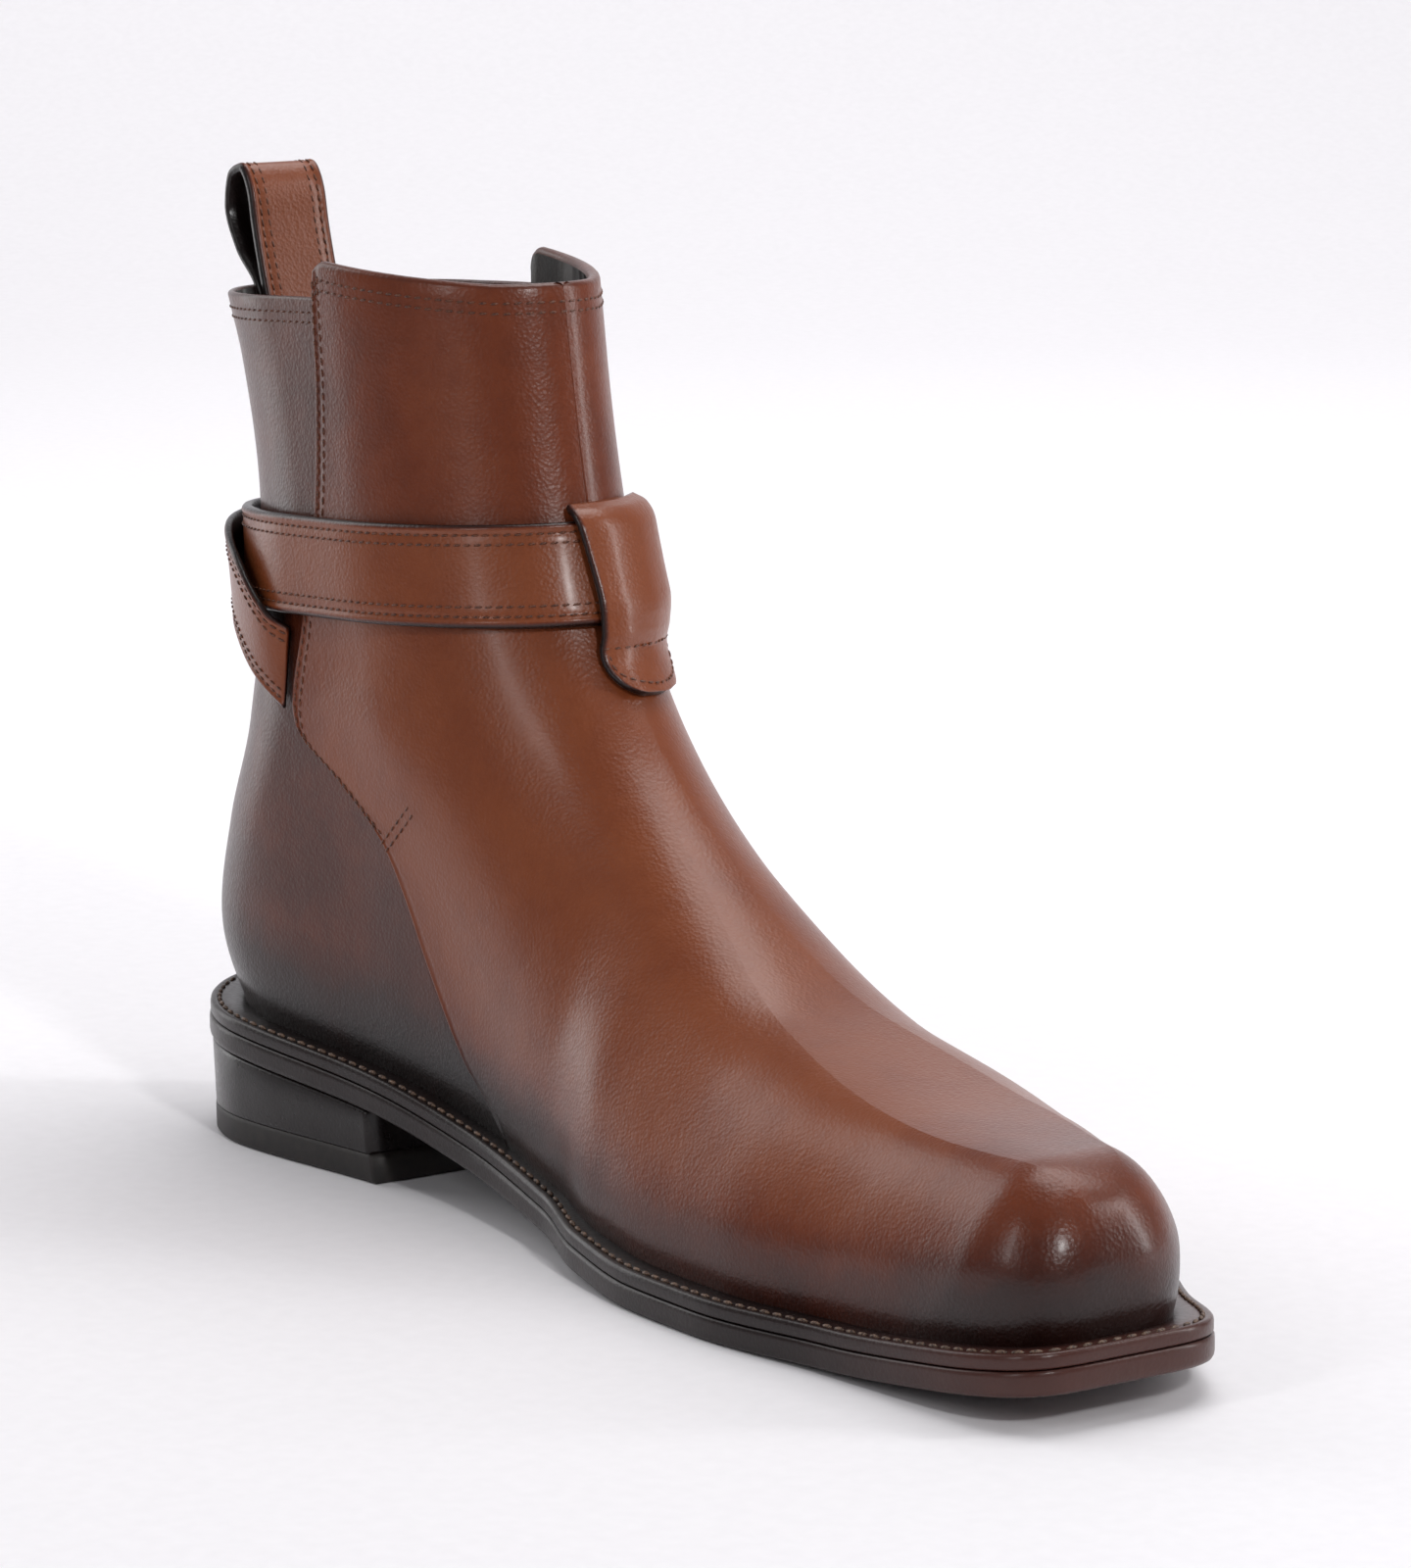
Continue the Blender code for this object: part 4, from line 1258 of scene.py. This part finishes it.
def slot_through(target, run, z, off, length, width):
    """Slot through a strap for the buckle's prong."""
    corners = []
    for o in (off - SLOT_REACH, off + SLOT_REACH):
        for r, h in ((-length, -width), (length, -width), (length, width), (-length, width)):
            corners.append(to_world(sheet(run + r / 2, z + h / 2, o)))
    faces = [(0, 1, 2, 3), (7, 6, 5, 4), (0, 4, 5, 1), (1, 5, 6, 2), (2, 6, 7, 3), (3, 7, 4, 0)]
    mesh = bpy.data.meshes.new("slot_cutter")
    mesh.from_pydata(corners, [], faces)
    settle(mesh)
    cutter = put_in("slot_cutter", mesh)
    cut = target.modifiers.new("prong slot", "BOOLEAN")
    cut.operation = "DIFFERENCE"
    cut.solver = "EXACT"
    cut.object = cutter
    graph = bpy.context.evaluated_depsgraph_get()
    done = bpy.data.meshes.new_from_object(target.evaluated_get(graph))
    target.modifiers.remove(cut)
    target.data = done
    bpy.data.objects.remove(cutter, do_unlink=True)


def build_long_strap():
    """Outer seam, round the back, inner side, front, buckle and free end."""
    level = STRAP_LEVEL
    rear = rear_run - 2.0 * half_girth
    fore = fore_run - 2.0 * half_girth
    rows = (
        (0.0, seam_run, level - 24.5, 0.4, 0.0, 0.83),
        (1.0, seam_run - 9.0, level - 18.4, 0.6, 24.0, 0.84),
        (2.0, seam_run - 20.0, level - 11.2, 1.1, 24.0, 0.93),
        (3.0, seam_run - 34.0, level - 6.2, 1.7, 8.0, 1.0),
        (4.0, 0.0, level - 5.6, 1.7, 0.0, 1.0),
        (7.0, -seam_run, level - 3.4, 1.6, -2.0, 1.0),
        (9.0, -half_girth, level, 1.6, -2.0, 1.0),
        (11.0, fore + 14.0, level, 1.5, 0.0, 1.0),
        (12.0, fore, level, 1.5, 0.0, 1.0),
        (12.5, fore - 5.5, level, 2.6, 0.0, 1.0),
        (13.0, fore - 11.0, level, 6.9, 0.0, 1.0),
        (13.5, rear + 4.5, level, 10.1, 0.0, 1.0),
        (14.0, rear, level, 10.9, 0.0, 1.0),
        (15.0, rear - 12.0, level, 11.9, 0.0, 1.0),
        (16.0, rear - 26.0, level, 13.6, 0.0, 1.0),
    )
    path = fill(rows, 300)
    strap = ribbon("long_strap", path, STRAP_WIDTH, STRAP, -1, ("strap_long",),
                   slant_end=8.0)
    slot_through(strap, fore_run - 12.3, level, 7.0, 9.6, 3.2)
    return edge_rows(path, STRAP_WIDTH, STRAP, -1, 0.0, 0.985)


def build_buckle_strap():
    """Inner seam, over the long strap round the back, folded on the buckle's bar."""
    level = STRAP_LEVEL
    rear = rear_run
    fold = BAR + BUCKLE_STRAP / 2 + 0.4
    rows = (
        (0.0, -seam_run, level - 24.5, 0.5, 0.0, 0.83, 0.0),
        (0.6, -seam_run + 4.5, level - 21.8, 2.4, -14.0, 0.80, 1.6),
        (1.2, -seam_run + 9.0, level - 18.4, 3.5, -24.0, 0.84, 1.8),
        (2.0, -seam_run + 20.0, level - 11.2, 4.7, -24.0, 0.93, 1.3),
        (3.0, -seam_run + 34.0, level - 7.4, 5.0, -8.0, 1.0, 0.5),
        (4.0, 0.0, level - 6.2, 5.0, 0.0, 1.0, 0.0),
        (5.5, rear - 18.0, level - 1.0, 4.8, 0.0, 1.0, 0.0),
        (6.0, rear - 9.0, level, 6.4, 0.0, 1.0, 0.0),
        (6.5, rear - 4.0, level, BUCKLE_LIFT + fold - 0.2, 0.0, 1.0, 0.0),
    )
    path = fill(rows, 150)
    flat_part = len(path)
    for i in range(25):
        turn = math.pi / 2 - math.pi * i / 24
        off = BUCKLE_LIFT + fold * math.sin(turn)
        path.append([rear + fold * math.cos(turn), level, off, 0.0, 1.0])
    path.append([rear - 3.0, level, BUCKLE_LIFT - fold + 0.1, 0.0, 1.0])
    path.append([rear - 7.0, level, BUCKLE_LIFT - fold + 0.7, 0.0, 1.0])
    strap = ribbon("buckle_strap", path, STRAP_WIDTH, BUCKLE_STRAP, 1, ("strap_buckle",))
    slot_through(strap, rear + 1.0, level, BUCKLE_LIFT, 9.0, 3.4)
    lines = edge_rows(path[:flat_part], STRAP_WIDTH, BUCKLE_STRAP, 1, 0.02, 0.93)
    wide = STRAP_WIDTH - 4.0
    lines.append([sewn(rear - 9.5, level + share * wide, 7.05) for share in ACROSS])
    return lines


def build_buckle():
    """Frame with eased corners, and the prong curled round its rear bar."""
    level = STRAP_LEVEL
    half_high = STRAP_WIDTH / 2 + FRAME_CLEAR
    corners = []
    for cx, cz, start in ((rear_run, half_high, 90), (fore_run, half_high, 0),
                          (fore_run, -half_high, -90), (rear_run, -half_high, -180)):
        inward = FRAME_CORNER if cx == rear_run else -FRAME_CORNER
        down = -FRAME_CORNER if cz > 0 else FRAME_CORNER
        for i in range(9):
            turn = math.radians(start + 90 - 90 * i / 8)
            r = cx + inward + FRAME_CORNER * math.cos(turn)
            z = level + cz + down + FRAME_CORNER * math.sin(turn)
            share = clamp((r - rear_run) / (fore_run - rear_run), 0.0, 1.0)
            corners.append((r, z, BUCKLE_LIFT + (FRAME_FRONT_LIFT - BUCKLE_LIFT) * share))
    tube("frame_of_buckle", densify(corners, 1.0, True), BAR, steel, ("buckle_frame",))

    wrap = BAR + PRONG + 0.25
    prong = []
    for i in range(25):
        turn = math.radians(225 - 150 * i / 24)
        off = BUCKLE_LIFT + wrap * math.sin(turn)
        prong.append((rear_run + wrap * math.cos(turn), level, off))
    tip = ((rear_run + 6.0, 7.75), (fore_run - 8.0, 7.2), (fore_run - 2.0, 6.85),
           (fore_run + 2.2, 6.6))
    prong += [(run, level, off) for run, off in tip]
    tube("prong_of_buckle", densify(prong, 0.8, False), PRONG, steel,
         ("buckle_prong",), closed=False)


def build_front_loop():
    """Loop on the front that holds the strap down, sewn at its foot."""
    level = STRAP_LEVEL
    front = -half_girth - 6.5
    rows = (
        (0.0, front, level + 12.6, 1.5, 90.0, 1.06),
        (0.7, front, level + 12.0, 2.4, 90.0, 1.06),
        (1.4, front, level + 10.9, 3.8, 90.0, 1.04),
        (2.2, front, level + 7.4, 5.0, 90.0, 0.98),
        (3.6, front, level - 6.0, 5.2, 90.0, 0.88),
        (4.6, front, level - 12.0, 3.7, 90.0, 0.90),
        (5.6, front, level - 15.5, 2.0, 90.0, 0.96),
        (6.4, front, level - 18.0, 1.6, 90.0, 0.96),
        (8.0, front, level - 23.8, 1.6, 90.0, 0.96),
    )
    ribbon("front_loop", fill(rows, 90), LOOP_WIDTH, LOOP_LEATHER, 1, ("strap_loop",),
           beaded=False, round_end_by=8.0)
    wide = LOOP_WIDTH - 3.0
    across = [sewn(front + share * wide, level - 15.0, 2.95) for share in ACROSS]
    foot = []
    for i in range(25):
        turn = math.pi * i / 24
        z = level - 16.5 - 5.6 * math.sin(turn) ** 0.7
        foot.append(sewn(front - 10.2 * math.cos(turn), z, 2.42))
    return [across, foot]


def build_pull_loop():
    """Loop at the back of the collar, its two legs sewn inside the shaft."""
    top = BOOT_HEIGHT
    rows = (
        (0.0, 0.0, top - 23.0, -back_line(top - 23.0) - 10.0, 90.0),
        (1.0, 0.0, top - 8.0, -back_line(top - 8.0) - 10.0, 90.0),
        (2.0, 0.0, top + 4.0, -4.2, 90.0),
        (3.0, 0.0, top + 11.0, -2.6, 90.0),
        (3.6, 0.0, top + 15.6, 0.8, 90.0),
        (4.2, 0.0, top + 14.0, 5.0, 90.0),
        (5.0, 0.0, top + 7.5, 6.4, 90.0),
        (6.0, 0.0, top - 1.0, 2.4, 90.0),
        (7.0, 0.0, top - 8.5, -back_line(top - 8.5) - 7.1, 90.0),
        (8.0, 0.0, top - 23.0, -back_line(top - 23.0) - 7.1, 90.0),
    )
    path = fill(rows, 130)
    ribbon("heel_pull", path, PULL_WIDTH, PULL_LEATHER, 1, ("pull_loop",), lay=heel_plane)
    reaches = [s * (PULL_WIDTH / 2 - inset) for s in (-1, 1) for inset in (2.0, 3.7)]
    return [strap_line(path, reach, 0.85, 1, 0.05, 0.9, heel_plane) for reach in reaches]


def build_straps():
    rows = build_long_strap() + build_buckle_strap()
    build_buckle()
    rows += build_front_loop() + build_pull_loop()
    stitch("strap_stitches", rows, STRAP_STITCH, tan_thread)


# Materials

def srgb(code):
    """Linear colour of an sRGB hex value."""
    values = []
    for i in (1, 3, 5):
        c = int(code[i:i + 2], 16) / 255
        values.append(c / 12.92 if c <= 0.04045 else ((c + 0.055) / 1.055) ** 2.4)
    return (*values, 1.0)


def per_mm(size):
    """Texture scale, in repeats a metre, for a feature of this size in millimetres."""
    return 1.0 / (size * MM)


def new_material(name):
    """Material, its node tree, its shader and the object's own coordinates."""
    made = bpy.data.materials.new(name)
    made.use_nodes = True
    tree = made.node_tree
    tree.nodes.clear()
    shader = add(tree, "ShaderNodeBsdfPrincipled")
    add(tree, "ShaderNodeOutputMaterial", {"Surface": shader})
    return made, tree, shader, add(tree, "ShaderNodeTexCoord").outputs["Object"]


def ramp(tree, source, stops):
    node = add(tree, "ShaderNodeValToRGB", {"Fac": source})
    elements = node.color_ramp.elements
    for element, (place, code) in zip(elements, (stops[0], stops[-1])):
        element.position = place
        element.color = srgb(code)
    for place, code in stops[1:-1]:
        elements.new(place).color = srgb(code)
    return node


def math_node(tree, operation, *values):
    return add(tree, "ShaderNodeMath", dict(enumerate(values)), operation=operation)


def noise(tree, place, size, detail, roughness=0.5):
    """Cloudy pattern with patches of this size in millimetres."""
    return add(tree, "ShaderNodeTexNoise", {
        "Vector": place, "Scale": per_mm(size), "Detail": detail, "Roughness": roughness})


def relief(tree, height, strength, depth, under=None):
    """Bump of this depth in millimetres, over an earlier one where given."""
    given = {"Height": height, "Strength": strength, "Distance": depth * MM}
    if under is not None:
        given["Normal"] = under
    return add(tree, "ShaderNodeBump", given)


def one_pattern(name, pattern, stops, bump, inputs):
    """Finish whose colour and relief both follow one noise pattern.

    The pattern gives its size in millimetres, its detail and its roughness; the bump
    gives its strength and its depth in millimetres, or None.
    """
    made, tree, shader, place = new_material(name)
    seen = noise(tree, place, *pattern)
    feed(tree, shader, {"Base Color": ramp(tree, seen, stops), **inputs})
    if bump:
        feed(tree, shader, {"Normal": relief(tree, seen, *bump)})
    return made, tree, shader, seen


def leather(name, stops, roughness, grain, coat, cloud):
    """Aniline-dyed leather: colour by its burnishing and painted shade, clouds of dye, fine
    pores and polish.
    """
    made, tree, shader, place = new_material(name)
    # The tone attribute holds the burnishing and the painted shade
    burnish_and_shade = add(tree, "ShaderNodeAttribute", attribute_name="tone").outputs["Fac"]
    # Dye takes unevenly over patches about 28 mm across, with streaks of 5 mm in them
    clouds = noise(tree, place, 28.0, 4.0, 0.6)
    uneven = math_node(tree, "MULTIPLY_ADD", clouds, 2.0 * cloud, -cloud)
    fine = math_node(tree, "MULTIPLY_ADD", noise(tree, place, 5.0, 5.0, 0.65), 0.16, -0.08)
    depth = math_node(tree, "ADD", burnish_and_shade, math_node(tree, "ADD", uneven, fine))
    # Pores about 0.7 mm apart, coarser than the real 0.2 mm so that they show
    pores = add(tree, "ShaderNodeTexVoronoi", {"Vector": place, "Scale": per_mm(0.75)})
    skin = noise(tree, place, 1.1, 3.0, 0.55)
    height = math_node(tree, "ADD", pores, skin)
    wavy = relief(tree, noise(tree, place, 16.0, 2.0, 0.4), 0.5, 0.5)
    feed(tree, shader, {
        "Base Color": ramp(tree, depth, stops),
        "Normal": relief(tree, height, grain, 0.12, wavy),
        "Roughness": math_node(tree, "MULTIPLY_ADD", skin, 0.18, roughness - 0.09),
        "IOR": 1.5, "Specular IOR Level": 0.32,
        "Coat Weight": coat, "Coat Roughness": 0.2, "Coat IOR": 1.5})
    return made


def suede_lining():
    """Brushed lining leather: dark, dull and a little hairy."""
    stops = ((0.3, "#1d1a19"), (0.7, "#3a3431"))
    nap = {"Roughness": 0.88, "Sheen Weight": 0.25}
    return one_pattern("brushed lining leather", (1.2, 6.0, 0.7), stops, (0.6, 0.3), nap)[0]


def waxed_thread(name, light, dark):
    """Waxed linen thread, twisted; painted lighter on the ridges of its relief and darker in
    its grooves, as light and shade.
    """
    stops = ((0.35, dark), (0.65, light))
    return one_pattern(name, (0.5, 2.0), stops, (0.5, 0.1), {"Roughness": 0.5})[0]


def polished_steel():
    """Drop-forged and polished steel, with the faint haze of use."""
    stops = ((0.3, "#bdb8ae"), (0.7, "#dedad2"))
    made, tree, shader, haze = one_pattern(
        "polished steel", (2.0, 5.0, 0.7), stops, None, {"Metallic": 1.0})
    feed(tree, shader, {"Roughness": math_node(tree, "MULTIPLY_ADD", haze, 0.16, 0.08)})
    return made


def moulded_rubber():
    """Moulded rubber of the heel's top piece: dull, with a fine dusty mottle."""
    stops = ((0.35, "#15110f"), (0.75, "#2a2320"))
    dull = {"Roughness": 0.55}
    return one_pattern("moulded rubber", (3.0, 6.0, 0.7), stops, (0.3, 0.1), dull)[0]


def seamless_paper():
    """Matt white paper under the boot."""
    stops = ((0.3, "#efedf0"), (0.7, "#f2f0f3"))
    return one_pattern("seamless paper", (4.0, 3.0), stops, None, {"Roughness": 0.7})[0]


# Stage

CAMERA_AT = Vector((1.1038, -0.7135, 0.307))
CAMERA_AIM = Vector((0.107, 0.008, 0.087))
CAMERA_LENS = 147.0
CAMERA_SENSOR = 36.0
MIDDLE_X = 0.1

# Paper sweep in metres: level until behind the boot, then up a curve to a wall
SWEEP_NEAR = -3.0
SWEEP_BEND = 1.6
SWEEP_RADIUS = 1.2
SWEEP_HALF = 4.0
WALL_OFF = 2.6

# Soft lights: distance and height in metres, turn from the camera's side in degrees,
# width and height in metres, power in watts
LIGHTS = (
    ("left_panel", 1.1, 0.5, -125.0, 0.5, 1.1, 4.0),
    ("left_strip", 1.2, 0.7, -48.0, 0.12, 0.7, 2.6),
    ("top_soft", 0.4, 1.4, 140.0, 1.0, 1.0, 12.5),
    ("front_spark", 1.5, 0.95, 22.0, 0.14, 0.14, 8.0),
    ("right_strip", 1.2, 0.55, 88.0, 0.16, 1.0, 6.0),
)
BACKDROP_LIGHT = ("backdrop_wash", 1.0, 1.7, 180.0, 3.5, 0.8, 38.0)
SURROUND = 0.16


def build_camera():
    data = bpy.data.cameras.new("camera")
    data.lens = CAMERA_LENS
    data.sensor_width = CAMERA_SENSOR
    camera = put_in("camera", data)
    camera.location = CAMERA_AT
    camera.rotation_euler = (CAMERA_AIM - CAMERA_AT).to_track_quat("-Z", "Y").to_euler()
    bpy.context.scene.camera = camera


def soft_light(name, away, up, turn, width, height, power, aim=Vector((MIDDLE_X, 0.0, 0.07))):
    """Area light at a turn from the camera's side of the boot, aimed at its middle."""
    data = bpy.data.lights.new(name, "AREA")
    data.shape = "RECTANGLE"
    data.size = width
    data.size_y = height
    data.energy = power
    light = put_in(name, data)
    facing = math.atan2(CAMERA_AT.y - CAMERA_AIM.y, CAMERA_AT.x - CAMERA_AIM.x)
    angle = facing + math.radians(turn)
    light.location = (MIDDLE_X + math.cos(angle) * away, math.sin(angle) * away, up)
    light.rotation_euler = (aim - light.location).to_track_quat("-Z", "Y").to_euler()


def build_stage():
    """Paper sweep that rises far behind the boot, soft lights and a white surround."""
    facing = math.atan2(CAMERA_AIM.y - CAMERA_AT.y, CAMERA_AIM.x - CAMERA_AT.x)
    profile = [(SWEEP_NEAR, 0.0), (SWEEP_BEND, 0.0)]
    for i in range(1, 13):
        turn = math.pi / 2 * i / 12
        rise = SWEEP_RADIUS * (1.0 - math.cos(turn))
        profile.append((SWEEP_BEND + SWEEP_RADIUS * math.sin(turn), rise))
    profile.append((SWEEP_BEND + SWEEP_RADIUS, SWEEP_HALF))
    points = []
    for side in (-SWEEP_HALF, SWEEP_HALF):
        for out, up in profile:
            x = MIDDLE_X + out * math.cos(facing) - side * math.sin(facing)
            y = out * math.sin(facing) + side * math.cos(facing)
            points.append((x, y, up))
    count = len(profile)
    faces = [(j, j + 1, count + j + 1, count + j) for j in range(count - 1)]
    mesh = bpy.data.meshes.new("paper_sweep")
    mesh.from_pydata(points, [], faces)
    mesh.shade_smooth()
    mesh.materials.append(seamless_paper())
    put_in("paper_sweep", mesh)

    world = bpy.data.worlds.new("white_surround")
    bpy.context.scene.world = world
    world.use_nodes = True
    back = world.node_tree.nodes["Background"]
    back.inputs["Color"].default_value = srgb("#f6f5fa")
    back.inputs["Strength"].default_value = SURROUND
    for row in LIGHTS:
        soft_light(*row)
    wall = Vector((MIDDLE_X + WALL_OFF * math.cos(facing), WALL_OFF * math.sin(facing), 0.7))
    wall += 0.6 * Vector((math.sin(facing), -math.cos(facing), 0.0))
    soft_light(*BACKDROP_LIGHT, wall)
    bpy.context.scene.view_settings.view_transform = "Standard"


# Calf in warm tan, wiped darker at toe, heel and welt, and darker still where shade is painted
TAN_STOPS = ((0.0, "#7d4022"), (0.22, "#6a2f15"), (0.45, "#4a1d0d"), (0.7, "#2a100a"),
             (1.0, "#120807"))
EDGE_STOPS = ((0.1, "#4a2922"), (0.4, "#341d1a"), (0.75, "#1a100f"), (1.0, "#080505"))
HEEL_STOPS = ((0.0, "#2b1a16"), (0.6, "#1b100e"), (1.0, "#0c0707"))

calf = leather("burnished calf with painted shade", TAN_STOPS, 0.36, 0.5, 0.22, 0.24)
sole_edge = leather("waxed sole edge", EDGE_STOPS, 0.34, 0.25, 0.1, 0.10)
heel_leather = leather("waxed heel lifts", HEEL_STOPS, 0.30, 0.2, 0.25, 0.10)
lining = suede_lining()
tan_thread = waxed_thread("tan waxed thread", "#6d3d24", "#3c1d11")
welt_thread = waxed_thread("welt thread", "#7d6453", "#37241c")
steel = polished_steel()
rubber = moulded_rubber()

stitches = stitch_tree()
girth = leg_girth()
half_girth = girth[2][-1]
seam_run = run_at(SEAM_AT_STRAP) - SEAM_INSET
rear_run = run_at(BUCKLE_REAR)
fore_run = run_at(BUCKLE_FRONT)

build_camera()
build_stage()
stitch_upper(build_upper())
build_sole()
stitch_welt()
build_straps()
